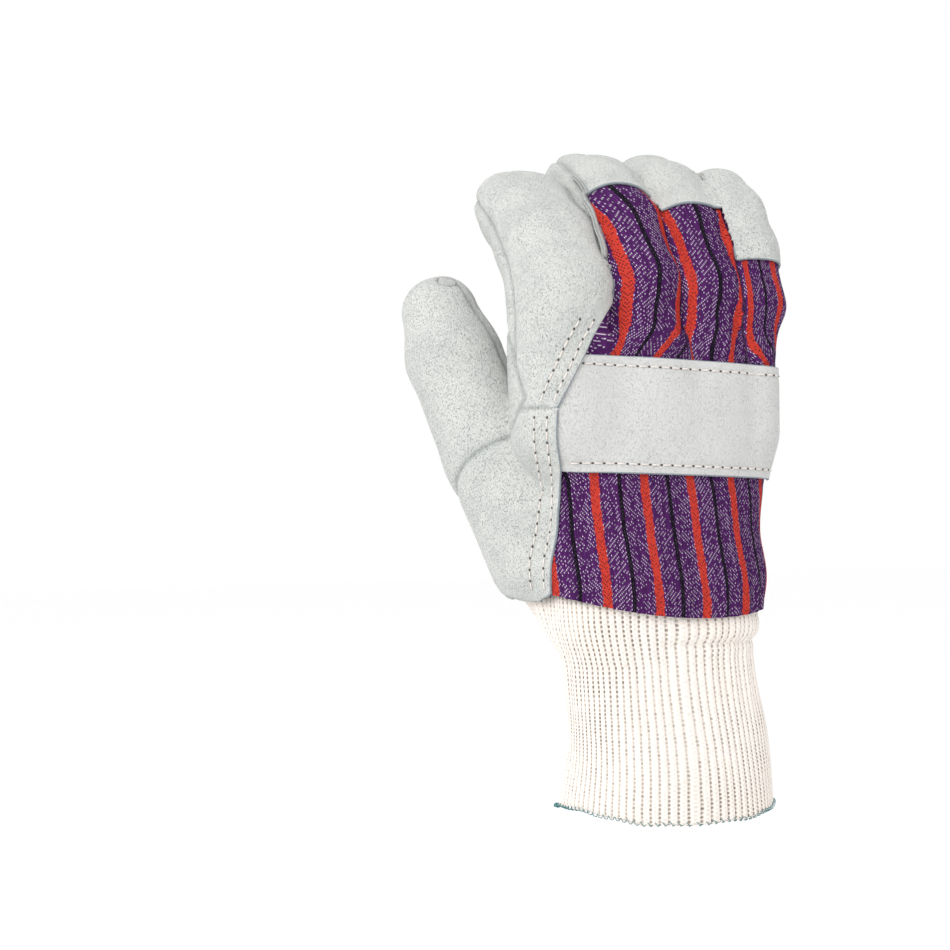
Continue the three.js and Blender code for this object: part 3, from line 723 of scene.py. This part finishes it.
def make_canvas():
    """Up every yarn a white fleck follows every third row; from yarn to yarn the flecks move by one row,
    up or down as the block says."""
    made, tree, shader = material("canvas", (0.12, 0.03, 0.2), gloss=0.08)
    place = own_place(tree)
    u, v = pattern(tree)
    u = u + (noise(tree, place, 120, 2) - 0.5) * 0.05
    across, up = u * YARNS, v / ROW
    i, turn = across.floor(), (u * 2).floor() % 2 * 2 - 1
    slid = (i * turn + up) / 3
    phase, j = slid.fract() * 3, slid.floor()
    chance, yarn = chance_at(tree, i, j), chance_at(tree, i)
    inside = lambda value: 0.5 - abs(value.fract() - 0.5)  # 0 at a cell's edge, 0.5 in its middle
    spot = inside(across).ramp(0.02, 0.22) * inside(up).ramp(0.0, 0.16)
    on = phase.ramp(0, 0.2) * phase.ramp(1.15, 0.95)
    kept = chance < noise(tree, place, 160, 1) * 0.8 + 0.2
    fleck = on * kept * inside(across).ramp(0.1, 0.28)
    ragged = chance_at(tree, up.floor()) * STRIPE_YARNS["ragged"]
    red = abs(u - round(u)) * YARNS < ragged + STRIPE_YARNS["red"]
    black = abs(u.fract() - 0.5) * YARNS < STRIPE_YARNS["black"]
    purple = (chance * 0.6).mix(yarn.mix(CANVAS_COLOURS["purple"], CANVAS_COLOURS["light"]), CANVAS_COLOURS["dark"])
    ground = black.mix(red.mix(purple, CANVAS_COLOURS["red"]), CANVAS_COLOURS["black"])
    in_purple = (fleck * (yarn * 0.65 + 0.3)).mix(ground, CANVAS_COLOURS["fleck"])
    in_red = (red * on * (chance < 0.62) * spot * 0.85).mix(ground, CANVAS_COLOURS["fleck in red"])
    shown = (black * 0.88).mix(red.mix(in_purple, in_red), ground)
    # painted shade: each weave cell darkens towards its edges, where the yarns dip, by up to 35 parts in
    # 100
    shown = ((1 - spot) * 0.35).mix(shown, CANVAS_COLOURS["groove"])
    finish_with(tree, shader, shown, spot * 0.6 + fleck * 0.4, 0.0002)
    return made


canvas = make_canvas()
print("canvas:", YARNS, "yarns from red to red, rows of", ROW, "mm")

# %% [markdown]
# ## Materials: rib knit
#
# The cuff is cream cotton, knitted in ribs. Between two ribs lies a shadowed column, painted darker, and in
# it, row by row, the small gaps between the loops, painted as dark dots of shade. u counts the ribs and v
# is the height in millimetres.

# %% The knit's material
COURSE = 1.7  # height of one row of loops
COTTON = {"clean": (0.87, 0.815, 0.765), "stained": (0.83, 0.755, 0.69), "fuzz": (0.62, 0.54, 0.47),
          "valley_shade": (0.55, 0.47, 0.39), "gap": (0.20, 0.155, 0.12)}


def make_knit():
    """Each rib has two columns of loops. A dark dot of painted shade, for the gap between the loops, sits
    between them at every row; the columns that lie beside each other are half a row apart."""
    made, tree, shader = material("knit", (0.75, 0.7, 0.62))
    place = own_place(tree)
    u, v = pattern(tree)
    wobble = (noise(tree, place, 110, 1) - 0.5) * 0.3
    column = (u + wobble) * 2
    odd = round(column) % 2
    row = v / COURSE + wobble + odd * 0.5
    away = lambda value: abs(value - round(value))
    gap = away(column).ramp(0.40, 0.12) * away(row).ramp(0.36, 0.14) * (1 - odd * 0.72)
    chance = chance_at(tree, round(column), round(row))
    loose = noise(tree, place, 26, 1).ramp(0.35, 0.65)
    gap = gap * ((chance * 0.5 + loose * 0.5) * 0.88 + 0.12)
    stain = noise(tree, place, 42, 2).ramp(0.4, 0.75)
    fuzz = noise(tree, place, 1400, 2)
    shown = (stain * 0.6).mix(COTTON["clean"], COTTON["stained"])
    shown = (fuzz.ramp(0.35, 0.7) * 0.25).mix(shown, COTTON["fuzz"])
    # painted shade: the column between two ribs, at whole numbers of u, darkens by up to 34 parts in 100
    shown = (away(u).ramp(0.24, 0.0) * 0.34).mix(shown, COTTON["valley_shade"])
    # painted shade: dark dots in the gaps between the loops
    shown = (gap * 0.95).mix(shown, COTTON["gap"])
    shader.inputs["Sheen Weight"].default_value = 0.2
    finish_with(tree, shader, shown, fuzz * 0.4 - gap, 0.0004)
    return made


knit = make_knit()
print("knit: rows of", COURSE, "mm")

# %% [markdown]
# ## The panels
#
# Leather lies 1.5 mm outside the hand, canvas under it at half a millimetre, and the strap on top of the
# canvas. Where two leathers are sewn inside out and turned, both edges roll in and leave a groove.
# Where leather is simply laid on the canvas and stitched down, its cut edge stays up and shows.
#
# A pressed sheet is never quite smooth, so slow ripples are added to the level, tighter in the canvas,
# and the canvas is drawn in where it runs under a row of stitches.

# %% Levels
LEATHER, CANVAS, STRAP_LEVEL = 1.55, 0.45, 2.0
WALL = {"hand_back": 0.7, "knuckle_strap": 1.1}
ROLL = 1.2  # how far a turned edge goes in
FAR = 99  # a distance at which a seam has no effect
STITCH_ROWS = (2.9, 8.2)  # in from the leather's edge beside the canvas


def ripple(p, size, turn=0.0):
    """Slow waves from three crossing sines, from -1 to 1; size is the wave length in millimetres."""
    k = 2 * np.pi / size
    x, y, z = p.T
    return (np.sin(k * (0.9 * x + 0.4 * z) + turn) + np.sin(k * (0.5 * y - 0.8 * z) + 2 * turn + 1)
            + np.sin(k * (0.7 * x - 0.6 * y + 0.35 * z) + 3 * turn + 2)) / 3


def bell(value, width):
    """1 at zero, falling off like a bell to nothing at about twice the width."""
    return np.exp(-((value / width) ** 2))


def pressed(p):
    """The strap draws the hand in at the little finger's side, and the fork beside it a little."""
    x, _, z = p.T
    return 4.2 * eased(x, 36, 54) * eased(z, 126, 142) * (1 - eased(z, 180, 200))


def along_surface(name, p, edge):
    """The distance from the edge measured along the surface: the edge's distance over its slope there."""
    out = unit_rows(slope(glove_distance, p, 0.3))
    ways = slope(lambda q: REGIONS[name](seams(q)), p, 0.2)
    ways -= out * (ways * out).sum(1)[:, None]
    return edge / np.clip(np.linalg.norm(ways, axis=1), 0.2, 1)


def cut_share(name, p, s):
    """1 where the panel's nearest edge is a cut one that lies on the cloth, 0 where it is turned in."""
    x, y, z = p.T
    if name.endswith("_tip"):
        cut = (s[name[:-4] + "_cap"] < -s["side"]) & (s[name[:-4] + "_cap"] < s["column"][name[:-4]])
    elif name == "index_back":
        cut = (s["slant"] < -s["side"] + 2) & (s["slant"] < z - INDEX_SEAM + 1)
    elif name == "palm_leather":
        cut = (x < -10) & (y < 12) & (z < INDEX_SEAM) & (s["wrap"] < INDEX_SEAM - z)
    else:
        cut = np.full(len(p), name == "knuckle_strap")
    return cut.astype(float)


def level_of(name, p, s, edge):
    """The panel's level in millimetres outside the hand."""
    return own_level(name, p, s, edge) - pressed(p)


def own_level(name, p, s, edge):
    x, y, z = p.T
    if name == "hand_back":
        free = eased(edge, LAP - 1, LAP + 6)
        folds = (0.35 * ripple(p, 26, 1) + 0.22 * ripple(p, 11, 2) * eased(z, 172, 196)) * free
        gathers = 0.35 * np.sin(x * 1.15 + 1.5 * np.sin(x / 7)) * bell(z - 84, 9)
        puckers = 0.45 * np.sin(x * 0.9 + 0.6) * bell(z - 180, 7) * (1 - bell(x + 40, 8))
        sewn = 0.5 * bell(s["strap"], 5)
        over = [s[leather] for leather in ("side", "index", "middle_cap", "ring_cap", "little_cap")]
        tucked = 1.1 * eased(np.maximum.reduce(over), -0.2, 1.6)
        level = CANVAS + np.maximum(folds + gathers + puckers - sewn, -0.35) - tucked
        groove = np.maximum.reduce([
            eased(np.abs(x - at), 2.4, 0.8) * eased(z, low, low + 4) for at, low in FORKS])
        return level + (NET_LEVEL + 0.05 - level) * groove
    if name == "knuckle_strap":
        under = eased(np.maximum(s["slant"], np.where(x < 0, s["side"], -FAR)), -9, -1)
        line = bell(s["strap"] - 3, 0.8)
        return STRAP_LEVEL + 0.2 * ripple(p, 34, 4) - 0.25 * line - under * 0.6 - 0.9 * eased(x, 40, 52)
    level = LEATHER + 0.3 * ripple(p, 40, 5) + 0.16 * ripple(p, 17, 6)
    hem = 0.7 * (s["hem"] < edge + 1) if name == "palm_leather" else 0
    turned = 1 - np.maximum(cut_share(name, p, s), hem)
    turned *= np.where((np.abs(z - INDEX_SEAM) < 2) & (x < -45) & (y < -5), 0.45, 1)
    level -= turned * ROLL * bell(along_surface(name, p, edge), 1.5)
    if name in ("palm_leather", "index_back"):
        not_wrap = (x > -10) | (y > 12)
        beside = s["slant"] if name == "index_back" else s["wrap"] + FAR * not_wrap
        for row in STITCH_ROWS:
            level -= 0.22 * bell(beside - row, 0.9)
        over_strap = eased(s["strap"], -6, 0)
        level += 1.1 * over_strap * bell(np.maximum(beside, 0), 4)
    return level


# %% [markdown]
# The stripes need to know where on the cloth a point lies. On the back of the hand that is the way round
# the palm's section, measured along the surface. On the fingers it is the way round each finger. The
# cloth was cut in one piece, so between the two the count passes smoothly from one to the other.

# %% The cloth's own coordinates
STRIPES = np.array([[86, -29.7, 19.2], [134, -34.3, 18.5], [172, -28.5, 16.2]])  # z, way round at 0, period
FINGER_STRIPES = [  # finger, the black stripe's number and x, stripes to a radian, more near the middle
    ("middle", 0.5, -8.8, 0.60, 0.12), ("middle", 0.5, -8.8, 0.60, 0.12),
    ("ring", 2.5, 17.8, 0.75, 0.0), ("little", 4.5, 38.3, 0.63, 0.6),
]
LEAN = {"from": 225, "to": 243, "by": 0.15}  # the middle finger's stripes lean over near its cap
MEAN_OVAL = (46, 21)  # half width and half depth of the palm's section, for the way round it


def way_round(p):
    """Length along the palm's oval from the middle of the back, by the angle whose sine and cosine give
    x and y of the oval; the table of lengths is worked out once for an oval of mean size."""
    turn = np.linspace(-np.pi, np.pi, 2001)
    ox, oy = (size * signed_power(part, 2 / OVAL_POWER) for size, part in (
        (MEAN_OVAL[0], np.sin(turn)), (-MEAN_OVAL[1], np.cos(turn))))
    length = np.concatenate([[0], np.cumsum(np.hypot(np.diff(ox), np.diff(oy)))])
    height, x, wide, deep = row_at(PALM, np.clip(p[:, 2], 60, 168)).T
    angle = np.arctan2(signed_power((p[:, 0] - x) / wide, OVAL_POWER / 2),
                       signed_power(-p[:, 1] / deep, OVAL_POWER / 2))
    return np.interp(angle, turn, length - length[1000]) * (wide / MEAN_OVAL[0])


def cloth_uv(p, s):
    """u: the stripe's number. v: millimetres up the cloth, along the finger above its root."""
    zero = np.interp(p[:, 2], STRIPES[:, 0], STRIPES[:, 1])
    period = np.interp(p[:, 2], STRIPES[:, 0], STRIPES[:, 2])
    palm = (way_round(p) - zero) / period
    nearest = np.argmax(np.stack(list(s["column"].values())), 0)
    counts = []
    for name, number, x, rate, more in FINGER_STRIPES:
        joints = np.array([place for place, _, _ in CHAINS[name]])
        depth = np.interp(p[:, 2], joints[:, 2], joints[:, 1])
        angle = np.arctan2(p[:, 0] - x, np.maximum(depth - p[:, 1], 0.2))
        counts.append(number + rate * angle + more * np.clip(angle, -0.45, 0.45))
    counts[1] = counts[1] + LEAN["by"] * eased(p[:, 2], LEAN["from"], LEAN["to"])
    finger = np.choose(nearest, counts)
    share = eased(p[:, 2], 171, 190)
    bow = -0.08 * bell(p[:, 2] - 207, 14)
    return np.stack([palm + (finger - palm) * share + bow, p[:, 2] * 1.03], 1)


# %% Making the panels
for name, region in REGIONS.items():
    points, faces = cut_out(region)
    s = seams(points)
    edge = region(s)
    level = level_of(name, points, s, edge)
    points = settle(lambda q: glove_distance(q) - level, points)
    solid, solid_faces, lip_from, source = with_wall(points, faces, WALL.get(name, 1.1))
    cut = cut_share(name, points, s)
    if name == "hand_back":
        uv, chosen, materials, full_name = cloth_uv(points, s)[source], None, [canvas], "hand_back_canvas"
    else:
        # the UV holds the distance from the edge; cut edges get 9 more, so the painted seam shade stays on
        # turned seams
        uv = np.stack([edge + 9 * cut, points[:, 2]], 1)[source]
        first = np.concatenate([f[:, 0] for f in solid_faces])
        chosen = (np.arange(len(first)) >= lip_from) & (cut[source[first]] > 0.5)
        body = strap_leather if name == "knuckle_strap" else leather
        materials, full_name = [body, raw_edge], name + "_piece"
    make_piece(full_name, solid, solid_faces, materials, chosen, uv)
    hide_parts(name)

# %% [markdown]
# ## Stitches
#
# The leather is stitched down on the canvas with two rows of cream thread beside its edge, and the strap
# with one row along each edge. A texture of dashes would look flat from the side, so every stitch is a
# small arched piece of thread, and between two of them lies a needle hole: a dark lens of painted shade.
# The rows are traced on the leather itself: a point of a row is where three conditions meet, which are the
# leather's level, a fixed distance from its edge, and the next height or the next place across.

# %% Tracing a row
PITCH = 4.2
THREAD = 0.35  # half a thread's thickness
PROUD = 0.2  # how far a row is lifted off the leather


def trace(name, seam, distance, axis, values, start):
    """Newton's method on the three conditions, for all points at once. The distance from the seam is
    measured along the surface: the seam's distance over how fast it grows there."""
    p = np.tile(np.asarray(start, float), (len(values), 1))
    p[:, axis] = values
    line = lambda q: seam(seams(q))
    for _ in range(12):
        s = seams(p)
        level = level_of(name, p, s, REGIONS[name](s))
        out, aside = slope(glove_distance, p), slope(line, p)
        level_way = unit_rows(out)
        share = np.linalg.norm(aside - level_way * (aside * level_way).sum(1)[:, None], axis=1)
        share = np.clip(share, 0.3, 1)[:, None]
        along = line(p) / share[:, 0]
        miss = np.stack([glove_distance(p) - level, along - distance, p[:, axis] - values], 1)
        ways = np.stack([out, aside / share, np.tile(np.eye(3)[axis], (len(p), 1))], 1)
        back = ways.transpose(0, 2, 1)
        move = (back @ np.linalg.solve(ways @ back + 0.001 * np.eye(3), miss[:, :, None]))[:, :, 0]
        p = p - move * np.minimum(1, 4 / np.maximum(np.linalg.norm(move, axis=1), 1e-9))[:, None]
    return p


def spread_along(path, pitch):
    """Places at an even pitch along a path, with the way it runs there."""
    length = np.concatenate([[0], np.cumsum(np.linalg.norm(np.diff(path, axis=0), axis=1))])
    count = int(length[-1] / pitch)
    at = (np.arange(count) + 0.5) * length[-1] / count
    place = lambda d: np.stack([np.interp(d, length, path[:, k]) for k in range(3)], 1)
    return place(at), unit_rows(place(at + 0.4) - place(at - 0.4))


heights = np.arange(90.5, INDEX_SEAM - 3, 1.0)
slant_heights = np.arange(INDEX_SEAM + 1.5, 189, 1.0)
widths = np.arange(-44.0, 46, 1.0)
rows = []
for inset in STITCH_ROWS:
    rows.append(trace("palm_leather", lambda s: s["wrap"], inset, 2, heights, (-50, -10, 0)))
    rows.append(trace("index_back", lambda s: s["slant"], inset, 2, slant_heights, (-50, -14, 0)))
rows.append(trace("knuckle_strap", lambda s: s["strap_low"], 3, 0, widths[:-1], (0, -22, 136)))
rows.append(trace("knuckle_strap", lambda s: s["strap_high"], 3, 0, widths, (0, -20, 172)))
print("stitch rows:", [f"{np.linalg.norm(np.diff(row, axis=0), axis=1).sum():.0f} mm" for row in rows])

# %% Stitches, and needle holes as lenses of painted shade
def between_rings(rings, count, closed=False):
    """Squares between rings of count corners each; closed joins the last ring to the first."""
    steps = rings if closed else rings - 1
    i, j = (g.ravel() for g in np.meshgrid(np.arange(steps), np.arange(count), indexing="ij"))
    n, k = (i + 1) % rings, (j + 1) % count
    return np.stack([i * count + j, i * count + k, n * count + k, n * count + j], 1)


def end_fans(rings, count):
    """Triangles from two middle corners, numbered after the rings, to the first and the last ring."""
    a, b = np.arange(count), (np.arange(count) + 1) % count
    middle, last = 0 * a + rings * count, (rings - 1) * count
    return np.concatenate([np.stack([middle, b, a], 1), np.stack([middle + 1, last + a, last + b], 1)])


def copies(template, faces, places, along, up):
    """The template's x, y and z laid along the row, across it and up from the surface, at every place."""
    aside = np.cross(up, along)
    ways = np.stack([along, aside, up], 1)
    points = (places[:, None] + np.einsum("tk,pkc->ptc", template, ways)).reshape(-1, 3)
    shift = np.arange(len(places))[:, None, None] * len(template)
    return points, [(f[None] + shift).reshape(-1, f.shape[1]) for f in faces]


def thread_template(length=3.1, rise=0.16, sunk=0.45, steps=6, round_count=6):
    """A bent capsule: its middle line rises as one minus the fourth power of the way from the middle."""
    t = np.linspace(-1, 1, steps + 1)
    middle = np.stack([t * length / 2, 0 * t, rise - sunk * t**4], 1)
    turn = 2 * np.pi * np.arange(round_count) / round_count
    thick = THREAD * np.sqrt(np.maximum(1 - 0.75 * t**6, 0.1))
    ring = np.stack([0 * turn, np.cos(turn), np.sin(turn)], 1)
    points = (middle[:, None] + thick[:, None, None] * ring).reshape(-1, 3)
    sides, caps = between_rings(steps + 1, round_count), end_fans(steps + 1, round_count)
    return np.concatenate([points, middle[[0, -1]]]), [sides[:, [0, 3, 2, 1]], caps[:, [0, 2, 1]]]


def hole_template(width=0.42, rise=0.1):
    """A lens with eight sides, just proud of the surface, for a needle hole's painted shade."""
    turn = 2 * np.pi * np.arange(8) / 8
    ring = np.stack([width * 1.2 * np.cos(turn), width * np.sin(turn), 0 * turn], 1)
    points = np.concatenate([ring, [[0, 0, rise], [0, 0, -0.3]]])
    a, b = np.arange(8), (np.arange(8) + 1) % 8
    return points, [np.concatenate([np.stack([a, b, 0 * a + 8], 1), np.stack([b, a, 0 * a + 9], 1)])]


def join(parts):
    """Several meshes as one: their corners one after the other, their faces shifted to match."""
    starts = np.cumsum([0] + [len(points) for points, _ in parts])
    faces = [f + start for (_, many), start in zip(parts, starts) for f in many]
    return np.concatenate([points for points, _ in parts]), faces


threads, holes = [], []
for row in rows:
    places, along = spread_along(row, PITCH)
    up = unit_rows(slope(glove_distance, places))
    places = places + PROUD * up
    threads.append(copies(*thread_template(), places, along, up))
    # painted shade: a dark lens at the needle hole between two stitches
    ends = places + along * PITCH / 2
    holes.append(copies(*hole_template(), ends, along, up))
stitches = make_piece("stitches", *join(threads), [thread])
needle_hole_shades = make_piece("needle_hole_shades", *join(holes), [needle_hole_shade])

# %% [markdown]
# ## The seam beside the index finger
#
# The middle finger's leather is sewn to its back with the cut edges outside, so two rough edges stand up
# along the seam, from the fingertip's corner down to the knuckle. They are one strip whose section is
# two humps with a slit between them, carried along the traced seam and a little uneven in height.

# %% The standing edge
def carried(path, up, section):
    """The section's first number goes across the path and its second up from the surface, at every place
    of the path; both ends are closed by a fan."""
    way = unit_rows(np.gradient(path, axis=0))
    aside = unit_rows(np.cross(way, up))
    points = path[:, None] + section[..., :1] * aside[:, None] + section[..., 1:] * up[:, None]
    faces = [between_rings(*section.shape[:2]), end_fans(*section.shape[:2])]
    return np.concatenate([points.reshape(-1, 3), points[[0, -1]].mean(1)]), faces


EDGE = {"heights": (202, 247, 0.8), "high": 2.3, "more_at_tip": 1.0, "half_width": 0.85, "sunk": 1.2}
path = trace("middle_tip", lambda s: s["side"], 0, 2, np.arange(*EDGE["heights"]), (-22, 8, 0))
up = unit_rows(slope(glove_distance, path, 0.5) + [-0.4, -0.5, 0])  # leaning to the index finger
t = np.linspace(0, 1, len(path))
uneven = 0.35 * np.sin(31 * t) * np.sin(12 * t + 1)
high = EDGE["high"] * eased(t, 0, 0.15) + EDGE["more_at_tip"] * eased(t, 0.75, 1) + uneven
hump = np.array([[-0.9, -1], [-1, 0.75], [-0.7, 1], [-0.2, 0.9], [0, 0.5], [0.2, 0.85], [0.7, 0.95],
                 [1, 0.7], [0.9, -1]])
section = np.stack([EDGE["half_width"] * hump[:, 0] * np.ones((len(path), 1)),
                    np.where(hump[:, 1] < 0, -EDGE["sunk"], hump[:, 1] * high[:, None])], 2)
section[..., 0] += 0.25 * np.sin(23 * t)[:, None] * (hump[:, 1] > 0)
points, faces = carried(path, up, section)
standing_edge = make_piece("middle_seam_edge", points, faces, [seam_edge], None, 9 + 0 * points[:, :2])
print("standing edge from", path[0].round(1), "to", path[-1].round(1))

# %% [markdown]
# ## The knit cuff
#
# The cuff is one closed tube of ribs. Its section is an oval that goes up inside the glove, where it
# takes the form of the glove's own inside. Real ribs are rows of loops; here each is a rounded ridge,
# and the loops are left to the material. Near the top on the little finger's side the knit is folded
# over once, which shows as a roll with a groove below it.

# %% The cuff
CUFF = np.array([  # height, centre x, half width, half depth, how far the section has joined the glove's
    [0, 5, 44.5, 21, 0], [28, 4.5, 42.5, 20, 0], [64, 1.5, 39, 18, 0],
    [78, 0, 41, 19, 1], [91, 0, 41, 19, 1],
])
WALES = 78  # ribs round the cuff
TUCK = 2.6  # how far under the hand's form the knit goes inside the glove
KNIT_WALL = 1.8
THUMB_SLANT = {"angle": 2.75, "from": 60, "to": 91, "power": 1.6}  # direction, heights, how late it widens
RIM = {"mean": 6.5, "side": -2.1, "palm": -1.4, "wave": 3.1, "fade": 48}  # heights round the slanting rim


def reach_inside(z, angle):
    """How far out from the wrist's axis the glove's inside lies: halving the search twelve times."""
    low, high = np.full(len(z), 10.0), np.full(len(z), 75.0)
    way = np.stack([np.cos(angle), np.sin(angle), 0 * angle], 1)
    for _ in range(12):
        middle = (low + high) / 2
        p = way * middle[:, None] + np.stack([0 * z, 0 * z, z], 1)
        inside = np.minimum(hand_distance(p), thumb_distance(p)) < -TUCK
        low, high = np.where(inside, middle, low), np.where(inside, high, middle)
    return low


def cuff_points(turn, z, out):
    """The oval at a height, moved outwards by out, and eased into the glove's inside by the join. On the
    thumb's side it widens in a slant instead."""
    _, x, wide, deep, joined = row_at(CUFF, z).T
    px = x + (wide + out) * signed_power(np.cos(turn), 2 / OVAL_POWER)
    py = (deep + out) * signed_power(np.sin(turn), 2 / OVAL_POWER)
    joined = np.clip(joined, 0, 1)
    angle = np.arctan2(py, px)
    thumb_side = eased(np.cos(angle - THUMB_SLANT["angle"]), 0.1, 0.9)
    start, end = THUMB_SLANT["from"], THUMB_SLANT["to"]
    share = np.clip((z - start) / (end - start), 0, 1) ** THUMB_SLANT["power"]
    straight = np.hypot(px, py)
    slanting = straight + (reach_inside(0 * z + end, angle) + out - straight) * share
    inner = np.where(joined > 0, reach_inside(z, angle) + out, straight)
    inner = inner + (slanting - inner) * thumb_side
    joined = np.where(z > start, np.maximum(joined, thumb_side), joined)
    px, py = px + (inner * np.cos(angle) - px) * joined, py + (inner * np.sin(angle) - py) * joined
    slant = RIM["mean"] + RIM["side"] * np.cos(turn) + RIM["palm"] * np.sin(turn)
    lift = (slant + RIM["wave"] * np.cos(2 * turn)) * np.maximum(1 - z / RIM["fade"], 0)
    ruffle = 0.5 * np.sin(9 * turn + 1) * np.sin(4 * turn) * bell(z, 10)
    return np.stack([px, py, z + lift + ruffle], 1)


def make_cuff():
    """A grid round the cuff and up it. Each rib rises as the square root of a cosine's size; the tube goes
    up outside, over the top, down inside and under the rim, so it is closed."""
    per_rib = 8
    around = WALES * per_rib
    turn = 2 * np.pi * np.arange(around) / around
    rises = np.concatenate([np.linspace(0.8, 84, 90), [91], [91], np.linspace(84, 0.8, 24), [0]])
    inside = np.concatenate([np.zeros(91), np.ones(26)])
    inside[-1] = 0.5
    z, turn = (g.ravel() for g in np.meshgrid(rises, turn, indexing="ij"))
    depth = np.repeat(inside, around)
    count = turn * WALES / (2 * np.pi)
    rib = np.sqrt(np.abs(np.sin(np.pi * count))) - 0.62
    side = eased(np.cos(turn), -0.3, 0.1)
    fold = side * (1.5 * bell(z - 76, 5) - 1.3 * bell(z - 70.7, 1.5))
    gathers = 0.3 * np.sin(turn * 23) * bell(z - 66, 22)
    slack = 0.7 * np.sin(3 * turn + 0.05 * z) * bell(z - 35, 30)
    narrow = -2.2 * eased(-np.cos(turn), 0.3, 0.9) * bell(z - 25, 32)
    out = (0.75 * rib + fold + gathers + slack) * (depth == 0) + narrow - KNIT_WALL * depth
    points = cuff_points(turn, np.maximum(z, 0), out)
    return points, [between_rings(len(rises), around, closed=True)], np.stack([count, z], 1)


points, faces, uv = make_cuff()
cuff = make_piece("knit_cuff_ribs", points, faces, [knit], None, uv)
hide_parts("knit_cuff")

# %% [markdown]
# The rim is overlocked: a thin dark green thread loops round the knit's edge, over and under. It is a
# tube carried along a path that swings from the outside of the rim to below it.

# %% The overlocked rim
def tube(path, radius, sides=5):
    """Rings round a closed path. Each ring's first direction leans away from the wrist's axis."""
    way = unit_rows(np.roll(path, -1, 0) - np.roll(path, 1, 0))
    out = unit_rows(path * [1, 1, 0] - way * (path * [1, 1, 0] * way).sum(1)[:, None])
    aside = np.cross(way, out)
    turn = 2 * np.pi * np.arange(sides) / sides
    ring = out[:, None] * np.cos(turn)[None, :, None] + aside[:, None] * np.sin(turn)[None, :, None]
    return (path[:, None] + radius * ring).reshape(-1, 3), [between_rings(len(path), sides, closed=True)]


LOOPS, LOOP_STEPS, RIM_THREAD = 96, 10, 0.14  # how many, steps in one, half the thread's thickness
swing = 2 * np.pi * np.arange(LOOPS * LOOP_STEPS) / (LOOPS * LOOP_STEPS)
height = np.maximum(0.9 + 0.9 * np.cos(LOOPS * swing), 0.0)
out = 0.35 + 0.5 * np.sin(LOOPS * swing) - 0.9 * (height < 0.3)
path = cuff_points(swing, height, out) - [0, 0, 0.25]
rim_thread = make_piece("rim_overlock", *tube(path, RIM_THREAD), [overlock])

# %% [markdown]
# ## The cloth
#
# The canvas is one cut piece with three finger backs, so its area is smaller than its width times its
# length. The cuff is a knitted band, drawn a little by the wrist inside it.

# %% [markdown]
# ## Ground, light and camera
#
# The photograph is a white studio picture: soft light from all round, and one larger light from the
# upper left that leaves the right side a little grey. The ground is a plain white floor.

# %% Ground and light
FLOOR = 6  # half its width, in metres
HELD_UP = 0.3  # the glove is held up, so its shadow falls far below it

floor_mesh = bpy.data.meshes.new("floor")
low_z = cad_box[0][2] - HELD_UP
corners = [(x * FLOOR, y * FLOOR, low_z) for x, y in ((-1, -1), (1, -1), (1, 1), (-1, 1))]
floor_mesh.from_pydata(corners, [], [(0, 1, 2, 3)])
floor = bpy.data.objects.new("floor", floor_mesh)
floor_material, _, floor_shader = material("floor_white", (0.95, 0.95, 0.95), 0.9)
floor_shader.inputs["Base Color"].default_value = (0.99, 0.99, 0.99, 1)
floor_mesh.materials.append(floor_material)
bpy.context.scene.collection.objects.link(floor)


KEY = {"place": (-1.1, -0.75, 0.95), "target": (0, 0, 0.14), "size": 0.8, "watts": 13}
lamp = bpy.data.lights.new("key", "AREA")
lamp.energy, lamp.size = KEY["watts"], KEY["size"]
key_light = bpy.data.objects.new("key", lamp)
key_light.location = KEY["place"]
towards = Vector(KEY["target"]) - Vector(KEY["place"])
key_light.rotation_euler = towards.to_track_quat("-Z", "Y").to_euler()
bpy.context.scene.collection.objects.link(key_light)
world = bpy.data.worlds.new("studio")
bpy.context.scene.world = world
world.use_nodes = True
world.node_tree.nodes["Background"].inputs["Color"].default_value = (1, 1, 1, 1)
world.node_tree.nodes["Background"].inputs["Strength"].default_value = 1.0
bpy.context.scene.view_settings.view_transform = "Standard"

# %% [markdown]
# The camera stands 650 mm in front of the glove, 30 degrees round to the thumb's side and level with
# the knuckles. The glove is not in the middle of the picture, so the camera is turned a little.

# %% Camera
AWAY, TURN, ASIDE, EYE = 0.65, 30, 5.96, 0.133  # metres, degrees round, degrees to the left, height
camera = bpy.data.objects.new("camera", bpy.data.cameras.new("camera"))
camera.data.lens, camera.data.sensor_width = 65.3, 36
camera.location = (-AWAY * 0.5, -AWAY * 0.866, EYE)
camera.rotation_euler = (np.radians(90), 0, np.radians(ASIDE - TURN))
camera.data.clip_start = 0.01
bpy.context.scene.collection.objects.link(camera)
bpy.context.scene.camera = camera
